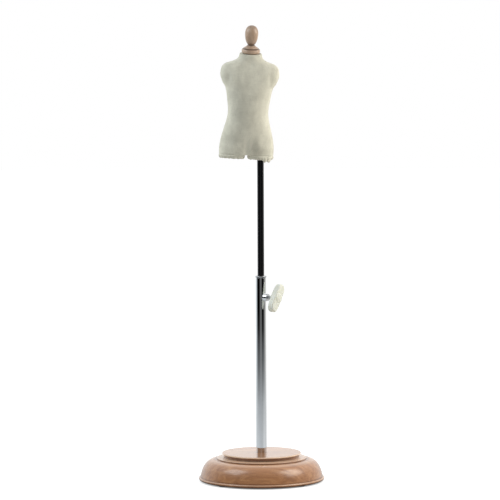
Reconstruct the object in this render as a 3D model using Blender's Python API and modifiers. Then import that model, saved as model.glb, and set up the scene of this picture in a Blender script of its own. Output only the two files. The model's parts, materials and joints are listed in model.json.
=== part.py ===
"""Half-scale child dress form on a height-adjustable stand.

Metres, +Z up. The origin is the middle of the base on the floor and the form faces -Y.
Left and right are the form's own: its left leg, which takes the rod, is on the +X side.
"""

import math

import bmesh
import bpy
import numpy as np
from mathutils import Matrix, Vector

GAP = 0.0003  # clearance between pieces that touch
RUN = 0.0003  # radial clearance between pieces that slide or turn
THROUGH = 0.004  # how far a cutter runs past what it cuts

# Base: a turned moulding with a turned disc on it
BASE_RADIUS = 0.150
FOOT_HEIGHT = 0.003
FOOT_RADIUS = 0.009
FOOT_COUNT = 4
BEAD_HEIGHT = 0.0075
DOME_FOOT_INSET = 0.003  # the dome starts this far inside the bead
PLATEAU_RADIUS = 0.107
PLATEAU_HEIGHT = 0.0585
PLATEAU_FALL = 0.0018  # the plateau slopes down by this from the disc to its edge
STEP_HEIGHT = 0.0030  # the small step between the dome and the plateau
TOP_DISC_RADIUS = 0.0945
TOP_DISC_THICKNESS = 0.0099
TOP_DISC_LIP = 0.0036  # height of the lip that overhangs the disc's cove
TOP_DISC_COVE = 0.0040  # how far the cove goes in under the lip

# Ballast plate and the bolt that holds the column, all from below
RECESS_RADIUS = 0.116
BALLAST_HEIGHT = 0.013  # underside of the plate above the floor
BALLAST_THICKNESS = 0.010
BALLAST_SCREW_INSET = 0.031  # from the recess's wall to each screw
BALLAST_SCREW_COUNT = 3
BOLT_RADIUS = 0.0050
BOLT_HEAD_ACROSS_FLATS = 0.017
BOLT_HEAD_HEIGHT = 0.0064
BOLT_THREAD_IN_PLUG = 0.018
WASHER_RADIUS = 0.015
WASHER_THICKNESS = 0.002

# Column
TUBE_RADIUS = 0.0127
TUBE_WALL = 0.0015
TUBE_SEAT_HEIGHT = 0.033  # floor of the socket that is bored in the base
TUBE_TOP = 0.489
PLUG_LENGTH = 0.026
TOP_BUSH_LENGTH = 0.024
TOP_BUSH_LIP = 0.0038
TOP_BUSH_LIP_OVERHANG = 0.0008
ROD_RADIUS = 0.008
ROD_WALL = 0.0012
ROD_INSERTED = 0.148  # length of rod inside the tube as shown
ROD_GUIDE_LENGTH = 0.024
ROD_GUIDE_SPIGOT = 0.018

# Clamp on the tube
CLAMP_HEIGHT = 0.442
CLAMP_TURN = math.radians(-35.0)  # screw axis, turned from +X towards the front
BOSS_RADIUS = 0.009
BOSS_REACH = 0.021  # from the column's axis to the boss's outer face
BOSS_CHAMFER = 0.0012
SCREW_RADIUS = 0.0040
PAD_RADIUS = 0.0037
PAD_THICKNESS = 0.0027
PAD_STEM_RADIUS = 0.0016
PAD_STEM_LENGTH = 0.0040
KNOB_START = 0.032  # from the column's axis to the hub's back face
KNOB_HUB_LENGTH = 0.024
KNOB_HUB_RADIUS = 0.0125
KNOB_NECK_RADIUS = 0.0085
KNOB_SPAN = 0.072
KNOB_WIDTH = 0.026
KNOB_WING_DEPTH = 0.017
KNOB_FULLNESS = 2.3  # the oval's exponent: 2 is an ellipse, more is squarer
KNOB_ROLL = math.radians(-35.0)  # the grip's lean from vertical, as left by the last turn
KNOB_SCREW_DEPTH = 0.015

# Torso: a rigid body under a sewn cover
LEG_END_HEIGHT = 0.7742
LEG_OFFSET = 0.0345  # middle of each leg from the form's middle plane
TORSO_LEAN = math.radians(2.85)  # the form sits a little crooked on its rod
COVER_THICKNESS = 0.0012
COVER_EASE = 0.0005  # slack between the cover and the body in it
CROTCH_HEIGHT = 0.0100
CROTCH_HALF_GAP = 0.0048
LEG_EDGE_RADIUS = 0.0045
LEG_HEM = 0.0075  # width of the cover turned in under the leg end
NECK_TOP = 0.2479
NECK_TILT = math.radians(8.0)
NECK_HALF_WIDTH = 0.0266
NECK_FRONT = 0.0215
NECK_BACK = 0.0265
NECK_EDGE_RADIUS = 0.0015
NECK_HEM_SHARE = 0.66  # the cover's opening on the neck top, as a share of the neck
NECK_BLOCK_RADIUS = 0.0160
NECK_BLOCK_HEIGHT = 0.012
NECK_SLANT_HEIGHT = 0.012  # the neck's top slants over this much of its height
SHOULDER_HEIGHT = 0.1998
SHOULDER_HALF_WIDTH = 0.0700
ARMPIT_HEIGHT = 0.1663
ARMPIT_HALF_WIDTH = 0.0560
WAIST_HEIGHT = 0.1103
WAIST_HALF_WIDTH = 0.0478
HIP_HEIGHT = 0.0218
HIP_HALF_WIDTH = 0.0648
BELLY_FRONT = 0.0470
SEAT_BACK = 0.0490
BOARD_THICKNESS = 0.003
BOARD_INSET = 0.0036

# Socket in the left leg
SOCKET_WALL = 0.0015
SOCKET_DEPTH = 0.072  # rod inside the socket
SOCKET_FLANGE_RADIUS = 0.0205
SOCKET_FLANGE_THICKNESS = 0.0032
SOCKET_SCREW_CIRCLE = 0.0158
SOCKET_SCREW_COUNT = 3
BUSH_WALL = 0.0012
BUSH_SLEEVE_LENGTH = 0.022
BUSH_COLLAR_RADIUS = 0.0104
BUSH_PROUD = 0.0050  # how far the collar stands out below the leg's end
ROD_CAP_THICKNESS = 0.003
ROD_CAP_SPIGOT = 0.010

# Neck cap and finial
CAP_RADIUS = 0.0220
CAP_HEIGHT = 0.0200
CAP_RIM_HEIGHT = 0.0115
CAP_TOP_RADIUS = 0.0092
FINIAL_RADIUS = 0.0157
FINIAL_HEIGHT = 0.0470
FINIAL_FOOT_RADIUS = 0.0058
STUD_RADIUS = 0.0025
STUD_IN_BLOCK = 0.009
STUD_IN_FINIAL = 0.014

WOOD_SCREW_RADIUS = 0.0020
WOOD_SCREW_HEAD_RADIUS = 0.0038
WOOD_SCREW_HEAD_HEIGHT = 0.0022

# Derived places
FOOT_GAP_TOP = FOOT_HEIGHT + GAP
RECESS_TOP = BALLAST_HEIGHT + BALLAST_THICKNESS + GAP
TOP_DISC_BOTTOM = PLATEAU_HEIGHT + GAP
TOP_DISC_TOP = TOP_DISC_BOTTOM + TOP_DISC_THICKNESS
TUBE_BOTTOM = TUBE_SEAT_HEIGHT + GAP
TUBE_BORE = TUBE_RADIUS - TUBE_WALL
PLUG_TOP = TUBE_BOTTOM + PLUG_LENGTH
ROD_BOTTOM = TUBE_TOP - ROD_INSERTED
ROD_BORE = ROD_RADIUS - ROD_WALL
SOCKET_BORE = ROD_RADIUS + RUN + BUSH_WALL + RUN
SOCKET_RADIUS = SOCKET_BORE + SOCKET_WALL
SCREW_HOLE_RADIUS = SCREW_RADIUS + RUN


# ---------------------------------------------------------------- materials and objects


def material(name, colour, roughness, metallic=0.0):
    made = bpy.data.materials.new(name)
    made.use_nodes = True
    shader = made.node_tree.nodes["Principled BSDF"]
    shader.inputs["Base Color"].default_value = (*colour, 1.0)
    shader.inputs["Roughness"].default_value = roughness
    shader.inputs["Metallic"].default_value = metallic
    made.diffuse_color = (*colour, 1.0)
    return made


def make_materials():
    return {
        "beech": material("beech", (0.46, 0.25, 0.14), 0.3),
        "pale_beech": material("pale_beech", (0.40, 0.27, 0.18), 0.45),
        "linen": material("linen", (0.62, 0.60, 0.50), 0.9),
        "foam": material("foam", (0.75, 0.72, 0.64), 0.9),
        "hardboard": material("hardboard", (0.52, 0.47, 0.38), 0.85),
        "chrome": material("chrome", (0.75, 0.76, 0.78), 0.1, 1.0),
        "black_enamel": material("black_enamel", (0.01, 0.01, 0.012), 0.2),
        "steel": material("steel", (0.50, 0.50, 0.52), 0.35, 1.0),
        "cast_iron": material("cast_iron", (0.09, 0.09, 0.10), 0.6, 0.6),
        "brass": material("brass", (0.70, 0.55, 0.25), 0.3, 1.0),
        "nylon": material("nylon", (0.78, 0.78, 0.74), 0.45),
        "ivory_plastic": material("ivory_plastic", (0.72, 0.73, 0.65), 0.4),
        "rubber": material("rubber", (0.03, 0.03, 0.03), 0.9),
    }


def clear_scene():
    for obj in list(bpy.data.objects):
        bpy.data.objects.remove(obj)


def make_collection(name):
    made = bpy.data.collections.new(name)
    bpy.context.scene.collection.children.link(made)
    return made


def add_object(name, mesh, finish=None, parent=None, place=None):
    """A named object for a sub-part. place is its matrix in its parent's frame."""
    obj = bpy.data.objects.new(name, mesh)
    (PARTS if finish else CUTTERS).objects.link(obj)
    if finish:
        mesh.materials.append(FINISHES[finish])
    else:
        obj.hide_render = True
        obj.display_type = "WIRE"
    obj.parent = parent
    if place is not None:
        obj.matrix_basis = place
    return obj


def add_empty(name, matrix, parent=None):
    empty = bpy.data.objects.new(name, None)
    PARTS.objects.link(empty)
    empty.parent = parent
    empty.matrix_basis = matrix
    empty.empty_display_size = 0.03
    return empty


def smooth(mesh, angle=35.0):
    mesh.shade_smooth()
    mesh.set_sharp_from_angle(angle=math.radians(angle))


def bmesh_to_mesh(name, bm):
    bmesh.ops.recalc_face_normals(bm, faces=bm.faces)
    mesh = bpy.data.meshes.new(name)
    bm.to_mesh(mesh)
    bm.free()
    smooth(mesh)
    return mesh


def along_x(at=0.0):
    """A matrix that lays a +Z shape along +X, with its origin at x = at."""
    return Matrix.Translation((at, 0, 0)) @ Matrix.Rotation(math.radians(90), 4, "Y")


def turned(name, profile, finish=None, parent=None, place=None, steps=32):
    """A turned piece. Its profile is (radius, height) points down the outer side, closed on the axis."""
    bm = bmesh.new()
    verts = [bm.verts.new((r, 0, z)) for r, z in profile]
    for a, b in zip(verts, verts[1:]):
        bm.edges.new((a, b))
    if profile[0][0] > 0 or profile[-1][0] > 0:
        bm.edges.new((verts[-1], verts[0]))
    mesh = bpy.data.meshes.new(name)
    bm.to_mesh(mesh)
    bm.free()
    obj = add_object(name, mesh, finish, parent, place)
    screw = obj.modifiers.new("turn", "SCREW")
    screw.steps = screw.render_steps = steps
    screw.use_merge_vertices = True
    screw.merge_threshold = 0.00001
    screw.use_smooth_shade = True
    return obj


def solid_profile(radius, low, high, chamfer=0.0):
    if chamfer:
        return [
            (0, high),
            (radius - chamfer, high),
            (radius, high - chamfer),
            (radius, low + chamfer),
            (radius - chamfer, low),
            (0, low),
        ]
    return [(0, high), (radius, high), (radius, low), (0, low)]


def ring_profile(outer, inner, low, high):
    return [(outer, high), (outer, low), (inner, low), (inner, high)]


def cutter(name, radius, low, high, parent=None, place=None, sides=20):
    """A plain cylinder that only cuts."""
    bm = bmesh.new()
    bmesh.ops.create_cone(
        bm, cap_ends=True, segments=sides, radius1=radius, radius2=radius, depth=high - low
    )
    bmesh.ops.translate(bm, verts=bm.verts, vec=(0, 0, (low + high) / 2))
    return add_object(name, bmesh_to_mesh(name, bm), None, parent, place)


def cut(obj, *cutters):
    for tool in cutters:
        step = obj.modifiers.new("cut " + tool.name, "BOOLEAN")
        step.operation = "DIFFERENCE"
        step.object = tool
        step.solver = "EXACT"


def unite(obj, other):
    step = obj.modifiers.new("join " + other.name, "BOOLEAN")
    step.operation = "UNION"
    step.object = other
    step.solver = "EXACT"


def bevel(obj, width, segments=1, angle=40.0):
    step = obj.modifiers.new("bevel", "BEVEL")
    step.width = width
    step.segments = segments
    step.limit_method = "ANGLE"
    step.angle_limit = math.radians(angle)


def bezier(a, b, c, d, count):
    """count points after a, up to d, on a cubic through a and d."""
    points = []
    for k in range(1, count + 1):
        t = k / count
        u = 1 - t
        w = (u**3, 3 * u * u * t, 3 * u * t * t, t**3)
        points.append(tuple(w[0] * p + w[1] * q + w[2] * r + w[3] * s for p, q, r, s in zip(a, b, c, d)))
    return points


def arc(centre, radius, start, end, count):
    """count + 1 points on an arc in the profile plane, angles in degrees from +r towards +z."""
    angles = np.radians(np.linspace(start, end, count + 1))
    return [(centre[0] + radius * math.cos(a), centre[1] + radius * math.sin(a)) for a in angles]


def circle_places(count, radius, start=0.0):
    """Matrices round the local Z axis."""
    spots = []
    for k in range(count):
        angle = start + 2 * math.pi * k / count
        spots.append(Matrix.Translation((radius * math.cos(angle), radius * math.sin(angle), 0)))
    return spots


# ---------------------------------------------------------------- base


def base_moulding_profile():
    """Down the outside: plateau, step, dome, bead; then back up through the recess and the tube socket."""
    bead_radius = BEAD_HEIGHT / 2
    dome_foot = (BASE_RADIUS - DOME_FOOT_INSET, FOOT_GAP_TOP + BEAD_HEIGHT)
    edge_height = PLATEAU_HEIGHT - PLATEAU_FALL
    dome_head = (PLATEAU_RADIUS, edge_height - STEP_HEIGHT)
    rise = dome_head[1] - dome_foot[1]
    out = dome_foot[0] - dome_head[0]
    outside = [(TUBE_RADIUS + GAP, PLATEAU_HEIGHT), (TOP_DISC_RADIUS - TOP_DISC_COVE, PLATEAU_HEIGHT)]
    outside += [(PLATEAU_RADIUS - 0.0010, edge_height), (PLATEAU_RADIUS, edge_height - 0.0010), dome_head]
    outside += bezier(
        dome_head,
        (dome_head[0] + 0.80 * out, dome_head[1] - 0.02 * rise),
        (dome_foot[0] - 0.10 * out, dome_foot[1] + 0.35 * rise),
        dome_foot,
        7,
    )
    outside += arc((BASE_RADIUS - bead_radius, FOOT_GAP_TOP + bead_radius), bead_radius, 60, -75, 4)
    underside = [
        (RECESS_RADIUS, FOOT_GAP_TOP),
        (RECESS_RADIUS, RECESS_TOP),
        (BOLT_RADIUS + GAP, RECESS_TOP),
        (BOLT_RADIUS + GAP, TUBE_SEAT_HEIGHT),
        (TUBE_RADIUS + GAP, TUBE_SEAT_HEIGHT),
    ]
    return outside + underside


def top_disc_profile():
    lip_foot = TOP_DISC_TOP - TOP_DISC_LIP
    edge = TOP_DISC_LIP / 2
    cove_radius = TOP_DISC_RADIUS - TOP_DISC_COVE
    cove_depth = (lip_foot - TOP_DISC_BOTTOM) * 0.6
    profile = [(TUBE_RADIUS + GAP, TOP_DISC_TOP)]
    profile += arc((TOP_DISC_RADIUS - edge, TOP_DISC_TOP - edge), edge, 90, -60, 5)
    profile += [
        (TOP_DISC_RADIUS - 0.62 * TOP_DISC_COVE, lip_foot - 0.25 * cove_depth),
        (cove_radius, lip_foot - cove_depth),
        (cove_radius, TOP_DISC_BOTTOM),
        (TUBE_RADIUS + GAP, TOP_DISC_BOTTOM),
    ]
    return profile


def wood_screw_profile(length):
    """A countersunk screw with its head's face at height 0 and its point up, listed down the outer side."""
    return [
        (0, length),
        (WOOD_SCREW_RADIUS, length - 0.003),
        (WOOD_SCREW_RADIUS, WOOD_SCREW_HEAD_HEIGHT),
        (WOOD_SCREW_HEAD_RADIUS, 0.0003),
        (WOOD_SCREW_HEAD_RADIUS, 0),
        (0, 0),
    ]


def screw_hole_profile(length):
    """The countersunk hole that such a screw sits in, open below its head."""
    shank = WOOD_SCREW_RADIUS + GAP
    head = WOOD_SCREW_HEAD_RADIUS + GAP
    return [
        (0, length + GAP),
        (shank, length - 0.003),
        (shank, WOOD_SCREW_HEAD_HEIGHT + 0.0005),
        (head, 0.0006),
        (head, -THROUGH),
        (0, -THROUGH),
    ]


def make_base():
    moulding = turned("base_moulding", base_moulding_profile(), "beech", steps=44)
    turned("base_top_disc", top_disc_profile(), "beech", steps=44)
    plate = turned(
        "ballast_plate",
        ring_profile(
            RECESS_RADIUS - GAP, BOLT_RADIUS + GAP, BALLAST_HEIGHT, BALLAST_HEIGHT + BALLAST_THICKNESS
        ),
        "cast_iron",
        steps=28,
    )
    screw_length = BALLAST_THICKNESS + 0.012
    spots = circle_places(BALLAST_SCREW_COUNT, RECESS_RADIUS - BALLAST_SCREW_INSET, math.radians(90))
    for k, spot in enumerate(spots, 1):
        place = Matrix.Translation((0, 0, BALLAST_HEIGHT)) @ spot
        turned(f"ballast_screw_{k}", wood_screw_profile(screw_length), "steel", None, place, 12)
        hole = turned(f"cut_ballast_{k}", screw_hole_profile(screw_length), None, None, place, 14)
        cut(plate, hole)
        cut(moulding, hole)
    foot_circle = (RECESS_RADIUS + BASE_RADIUS) / 2 - BEAD_HEIGHT / 4
    for k, spot in enumerate(circle_places(FOOT_COUNT, foot_circle, math.radians(45)), 1):
        foot = solid_profile(FOOT_RADIUS, 0, FOOT_HEIGHT, 0.0008)
        turned(f"rubber_foot_{k}", foot, "rubber", None, spot, 14)
    make_column_bolt()


def make_column_bolt():
    """Hex bolt and washer from below, into the plug in the foot of the tube."""
    washer_top = BALLAST_HEIGHT - GAP
    turned(
        "column_washer",
        ring_profile(WASHER_RADIUS, BOLT_RADIUS + GAP, washer_top - WASHER_THICKNESS, washer_top),
        "steel",
        steps=20,
    )
    head_top = washer_top - WASHER_THICKNESS - GAP
    bm = bmesh.new()
    bmesh.ops.create_cone(
        bm,
        cap_ends=True,
        segments=6,
        radius1=BOLT_HEAD_ACROSS_FLATS / math.sqrt(3),
        radius2=BOLT_HEAD_ACROSS_FLATS / math.sqrt(3),
        depth=BOLT_HEAD_HEIGHT,
    )
    bmesh.ops.translate(bm, verts=bm.verts, vec=(0, 0, head_top - BOLT_HEAD_HEIGHT / 2))
    bolt = add_object("column_bolt", bmesh_to_mesh("column_bolt", bm), "steel")
    bevel(bolt, 0.0006)
    shank_top = TUBE_BOTTOM + BOLT_THREAD_IN_PLUG
    shank = turned(
        "join_bolt_shank",
        solid_profile(BOLT_RADIUS, head_top - BOLT_HEAD_HEIGHT / 2, shank_top, 0.0008),
        steps=20,
    )
    unite(bolt, shank)


# ---------------------------------------------------------------- column


def make_column(clamp_frame):
    wall = ring_profile(TUBE_RADIUS, TUBE_BORE, TUBE_BOTTOM, TUBE_TOP)
    tube = turned("outer_tube", wall, "chrome", steps=40)
    clamp_hole = cutter("cut_clamp_hole", SCREW_HOLE_RADIUS, 0, TUBE_RADIUS + THROUGH, clamp_frame, along_x())
    cut(tube, clamp_hole)
    turned(
        "tube_foot_plug",
        ring_profile(TUBE_BORE - GAP, BOLT_RADIUS + GAP, TUBE_BOTTOM, PLUG_TOP),
        "steel",
        steps=28,
    )
    lip = TUBE_RADIUS + TOP_BUSH_LIP_OVERHANG
    seat = TUBE_TOP + GAP
    bore = ROD_RADIUS + RUN
    turned(
        "tube_top_bush",
        [
            (bore, seat + TOP_BUSH_LIP),
            (lip - 0.001, seat + TOP_BUSH_LIP),
            (lip, seat + TOP_BUSH_LIP - 0.001),
            (lip, seat),
            (TUBE_BORE - GAP, seat),
            (TUBE_BORE - GAP, TUBE_TOP - TOP_BUSH_LENGTH),
            (bore, TUBE_TOP - TOP_BUSH_LENGTH),
        ],
        "chrome",
        steps=32,
    )


def make_rod(rod_frame):
    """The rod, the guide that centres it in the tube and the cap that the form turns on."""
    base = -rod_frame.matrix_basis.translation.z
    top = rod_top() + base
    low = ROD_BOTTOM + base
    turned("inner_rod", ring_profile(ROD_RADIUS, ROD_BORE, low, top), "black_enamel", rod_frame, steps=32)
    spigot = ROD_BORE - GAP
    guide = TUBE_BORE - RUN
    turned(
        "rod_guide",
        [
            (0, low + ROD_GUIDE_SPIGOT),
            (spigot - 0.0008, low + ROD_GUIDE_SPIGOT),
            (spigot, low + ROD_GUIDE_SPIGOT - 0.0008),
            (spigot, low - GAP),
            (guide - 0.0008, low - GAP),
            (guide, low - GAP - 0.0008),
            (guide, low - GAP - ROD_GUIDE_LENGTH + 0.0008),
            (guide - 0.0008, low - GAP - ROD_GUIDE_LENGTH),
            (0, low - GAP - ROD_GUIDE_LENGTH),
        ],
        "nylon",
        rod_frame,
        steps=24,
    )
    cap = SOCKET_BORE - RUN
    turned(
        "rod_top_cap",
        [
            (0, top + GAP + ROD_CAP_THICKNESS),
            (cap - 0.0008, top + GAP + ROD_CAP_THICKNESS),
            (cap, top + GAP + ROD_CAP_THICKNESS - 0.0008),
            (cap, top + GAP),
            (spigot, top + GAP),
            (spigot, top - ROD_CAP_SPIGOT),
            (0, top - ROD_CAP_SPIGOT),
        ],
        "nylon",
        rod_frame,
        steps=24,
    )


# ---------------------------------------------------------------- clamp


def make_clamp(clamp_frame, pad_frame, knob_frame):
    """Everything is along the local +X axis, which is the screw's."""
    boss = turned(
        "clamp_boss",
        solid_profile(BOSS_RADIUS, TUBE_RADIUS * 0.6, BOSS_REACH, BOSS_CHAMFER),
        "chrome",
        clamp_frame,
        along_x(),
        28,
    )
    reach = BOSS_RADIUS + THROUGH
    saddle = cutter("cut_saddle", TUBE_RADIUS + GAP, -reach, reach, clamp_frame, sides=40)
    boss_hole = cutter("cut_boss_hole", SCREW_HOLE_RADIUS, 0, BOSS_REACH + THROUGH, clamp_frame, along_x())
    cut(boss, saddle, boss_hole)

    pad_face = ROD_RADIUS + GAP
    pad_back = pad_face + PAD_THICKNESS
    pad = turned(
        "clamp_pad",
        [
            (0, pad_back + PAD_STEM_LENGTH),
            (PAD_STEM_RADIUS, pad_back + PAD_STEM_LENGTH),
            (PAD_STEM_RADIUS, pad_back),
            (PAD_RADIUS, pad_back),
            (PAD_RADIUS, pad_face - 0.002),
            (0, pad_face - 0.002),
        ],
        "brass",
        pad_frame,
        along_x(),
        20,
    )
    reach = PAD_RADIUS + THROUGH
    rod_clear = cutter("cut_rod_clear", pad_face, -reach, reach, clamp_frame, sides=40)
    cut(pad, rod_clear)

    screw_start = pad_back + GAP
    screw_end = KNOB_START + KNOB_SCREW_DEPTH
    bore_end = screw_start + PAD_STEM_LENGTH
    turned(
        "clamp_screw",
        [
            (0, screw_end),
            (SCREW_RADIUS - 0.0006, screw_end),
            (SCREW_RADIUS, screw_end - 0.0006),
            (SCREW_RADIUS, screw_start + 0.0006),
            (SCREW_RADIUS - 0.0006, screw_start),
            (PAD_STEM_RADIUS + GAP, screw_start),
            (PAD_STEM_RADIUS + GAP, bore_end),
            (0, bore_end),
        ],
        "steel",
        knob_frame,
        along_x(),
        24,
    )
    make_wing_knob(knob_frame, screw_end)


def grip_outline():
    """The grip seen along the screw, as (span, width) points: a superellipse, a long oval with full ends."""
    turns = np.radians(np.linspace(0, 360, 28, endpoint=False))
    return [
        (
            KNOB_SPAN / 2 * math.copysign(abs(math.cos(a)) ** (2 / KNOB_FULLNESS), math.cos(a)),
            KNOB_WIDTH / 2 * math.copysign(abs(math.sin(a)) ** (2 / KNOB_FULLNESS), math.sin(a)),
        )
        for a in turns
    ]


def make_wing_knob(knob_frame, screw_end):
    middle = KNOB_START + KNOB_HUB_LENGTH / 2
    roll = Matrix.Rotation(KNOB_ROLL, 4, "X")
    bm = bmesh.new()
    face = bm.faces.new([bm.verts.new((middle - KNOB_WING_DEPTH / 2, y, x)) for x, y in grip_outline()])
    swept = bmesh.ops.extrude_face_region(bm, geom=[face])
    moved = [v for v in swept["geom"] if isinstance(v, bmesh.types.BMVert)]
    bmesh.ops.translate(bm, verts=moved, vec=(KNOB_WING_DEPTH, 0, 0))
    knob = add_object("wing_knob", bmesh_to_mesh("wing_knob", bm), "ivory_plastic", knob_frame, roll)
    bevel(knob, 0.0022, 2, 60)
    front = KNOB_START + KNOB_HUB_LENGTH
    hub = turned(
        "join_hub",
        [
            (0, front),
            (KNOB_HUB_RADIUS * 0.72, front),
            (KNOB_HUB_RADIUS * 0.93, front - 0.0018),
            (KNOB_HUB_RADIUS, front - 0.005),
            (KNOB_HUB_RADIUS * 0.97, middle),
            (KNOB_NECK_RADIUS + 0.0008, KNOB_START + 0.003),
            (KNOB_NECK_RADIUS, KNOB_START),
            (0, KNOB_START),
        ],
        None,
        knob_frame,
        along_x(),
        28,
    )
    unite(knob, hub)
    low, high = KNOB_START - THROUGH, screw_end + GAP
    hole = cutter("cut_knob_hole", SCREW_HOLE_RADIUS, low, high, knob_frame, along_x())
    cut(knob, hole)


# ---------------------------------------------------------------- torso form


def between(low, high, share):
    return low + (high - low) * share


def over_hip(share):
    """A height between the hip and the waist."""
    return between(HIP_HEIGHT, WAIST_HEIGHT, share)


def over_waist(share):
    """A height between the waist and the armpits."""
    return between(WAIST_HEIGHT, ARMPIT_HEIGHT, share)


def over_armpit(share):
    """A height between the armpits and the shoulders' widest part."""
    return between(ARMPIT_HEIGHT, SHOULDER_HEIGHT, share)


def over_shoulder(share):
    """A height between the shoulders' widest part and the neck's top."""
    return between(SHOULDER_HEIGHT, NECK_TOP, share)


def slope_width(share):
    """A half width on the slope from the neck (0) to the shoulders (1)."""
    return between(NECK_HALF_WIDTH, SHOULDER_HALF_WIDTH, share)


# The body's measures by height: half width, front and back from the legs' middle plane, squareness.
STATIONS = (
    (0.0, HIP_HALF_WIDTH - 0.0005, 0.0375, 0.0410, 2.35),
    (HIP_HEIGHT, HIP_HALF_WIDTH, 0.0415, 0.0465, 2.35),
    (over_hip(0.25), HIP_HALF_WIDTH - 0.0025, 0.0440, SEAT_BACK, 2.3),
    (over_hip(0.57), between(WAIST_HALF_WIDTH, HIP_HALF_WIDTH, 0.44), 0.0460, 0.0460, 2.25),
    (over_hip(0.79), between(WAIST_HALF_WIDTH, HIP_HALF_WIDTH, 0.14), BELLY_FRONT, 0.0410, 2.2),
    (WAIST_HEIGHT, WAIST_HALF_WIDTH, BELLY_FRONT, 0.0360, 2.2),
    (over_waist(0.5), between(WAIST_HALF_WIDTH, ARMPIT_HALF_WIDTH, 0.36), 0.0445, 0.0340, 2.2),
    (ARMPIT_HEIGHT, ARMPIT_HALF_WIDTH, 0.0410, 0.0370, 2.3),
    (over_armpit(0.47), between(ARMPIT_HALF_WIDTH, SHOULDER_HALF_WIDTH, 0.65), 0.0385, 0.0380, 2.35),
    (SHOULDER_HEIGHT, SHOULDER_HALF_WIDTH, 0.0340, 0.0365, 2.35),
    (over_shoulder(0.31), slope_width(0.95), 0.0290, 0.0330, 2.25),
    (over_shoulder(0.51), slope_width(0.74), 0.0250, 0.0300, 2.1),
    (over_shoulder(0.61), slope_width(0.44), 0.0232, 0.0285, 2.05),
    (over_shoulder(0.68), slope_width(0.24), 0.0222, 0.0278, 2.0),
    (over_shoulder(0.77), slope_width(0.10), 0.0217, 0.0272, 2.0),
    (over_shoulder(0.865), slope_width(0.03), NECK_FRONT, NECK_BACK, 2.0),
    (NECK_TOP, NECK_HALF_WIDTH, NECK_FRONT, NECK_BACK, 2.0),
)
FRONT, BACK = -1, 1
# Soft modelling of the surface: side, distance from the middle, height, spreads, rise or fall.
RELIEF = (
    (FRONT, 0.0, over_shoulder(0.55), 0.009, 0.010, -0.0020),  # hollow of the throat
    (FRONT, ARMPIT_HALF_WIDTH - 0.005, over_armpit(0.75), 0.006, 0.017, -0.0022),  # crease of the arm
    (BACK, ARMPIT_HALF_WIDTH - 0.005, over_armpit(0.60), 0.006, 0.017, -0.0018),
    (FRONT, 0.022, over_waist(0.95), 0.018, 0.018, 0.0012),  # chest
    (FRONT, 0.0, over_hip(0.60), 0.028, 0.028, 0.0014),  # belly
    (FRONT, 0.040, over_hip(0.24), 0.009, 0.012, -0.0013),  # fold of the groin
    (FRONT, LEG_OFFSET - 0.004, HIP_HEIGHT + 0.004, 0.015, 0.016, 0.0012),  # front of the thigh
    (FRONT, 0.0, HIP_HEIGHT, 0.006, 0.016, -0.0020),  # between the legs
    (BACK, 0.0, between(WAIST_HEIGHT, SHOULDER_HEIGHT, 0.35), 0.008, 0.050, -0.0014),  # spine
    (BACK, LEG_OFFSET, over_armpit(0.30), 0.016, 0.018, 0.0014),  # shoulder blade
    (BACK, LEG_OFFSET - 0.006, over_hip(0.12), 0.018, 0.018, 0.0026),  # seat
    (BACK, 0.0, HIP_HEIGHT + 0.004, 0.005, 0.020, -0.0028),  # cleft of the seat
)
RELIEF_FADE = 0.015  # the relief fades out this far from the sides
HALF_POINTS = 12  # segments from the front middle line round to the back one
INNER_POINTS = 6  # segments across the inside of a leg


def body_heights(low, high):
    """Row heights between low and high: every station and a row between stations that lie far apart."""
    heights = [s[0] for s in STATIONS]
    rows = []
    for a, b in zip(heights, heights[1:]):
        parts = 2 if b - a > 0.0225 else 1
        rows += [a + (b - a) * k / parts for k in range(parts)]
    rows.append(heights[-1])
    step = 0.0025
    return [low] + [z for z in rows if low + step < z < high - step] + [high]


def measures(z):
    """Half width, front, back and squareness at height z, by a smooth curve that never overshoots."""
    table = np.array(STATIONS)
    x, y = table[:, 0], table[:, 1:]
    width = np.diff(x)[:, None]
    slope = np.diff(y, axis=0) / width
    bend = np.zeros_like(y)
    same = slope[:-1] * slope[1:] > 0
    mean = 2 * slope[:-1] * slope[1:] / np.where(same, slope[:-1] + slope[1:], 1.0)
    bend[1:-1] = np.where(same, mean, 0.0)
    bend[0], bend[-1] = slope[0], slope[-1]
    i = int(np.clip(np.searchsorted(x, z) - 1, 0, len(x) - 2))
    h = x[i + 1] - x[i]
    t = min(max((z - x[i]) / h, 0.0), 1.0)
    start = (1 + 2 * t) * (1 - t) ** 2 * y[i] + t * (1 - t) ** 2 * h * bend[i]
    end = t * t * (3 - 2 * t) * y[i + 1] + t * t * (t - 1) * h * bend[i + 1]
    return start + end


def power(value, exponent):
    return math.copysign(abs(value) ** exponent, value)


def neck_lift(y, z):
    """How far the slanted neck top raises a point of the neck."""
    share = min(max((z - NECK_TOP) / NECK_SLANT_HEIGHT + 1.0, 0.0), 1.0)
    return share * (y - neck_middle()) * math.tan(NECK_TILT)


def neck_middle():
    return (NECK_BACK - NECK_FRONT) / 2


def relief(x, y, z):
    """Rise of the surface at a point: a sum of soft bumps, each exp(-(distance / spread) squared)."""
    total = 0.0
    for side, middle, height, spread_x, spread_z, rise in RELIEF:
        share = min(max(side * y / RELIEF_FADE, 0.0), 1.0)
        away = ((abs(x) - middle) / spread_x) ** 2 + ((z - height) / spread_z) ** 2
        total += rise * share * math.exp(-away)
    return total


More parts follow.
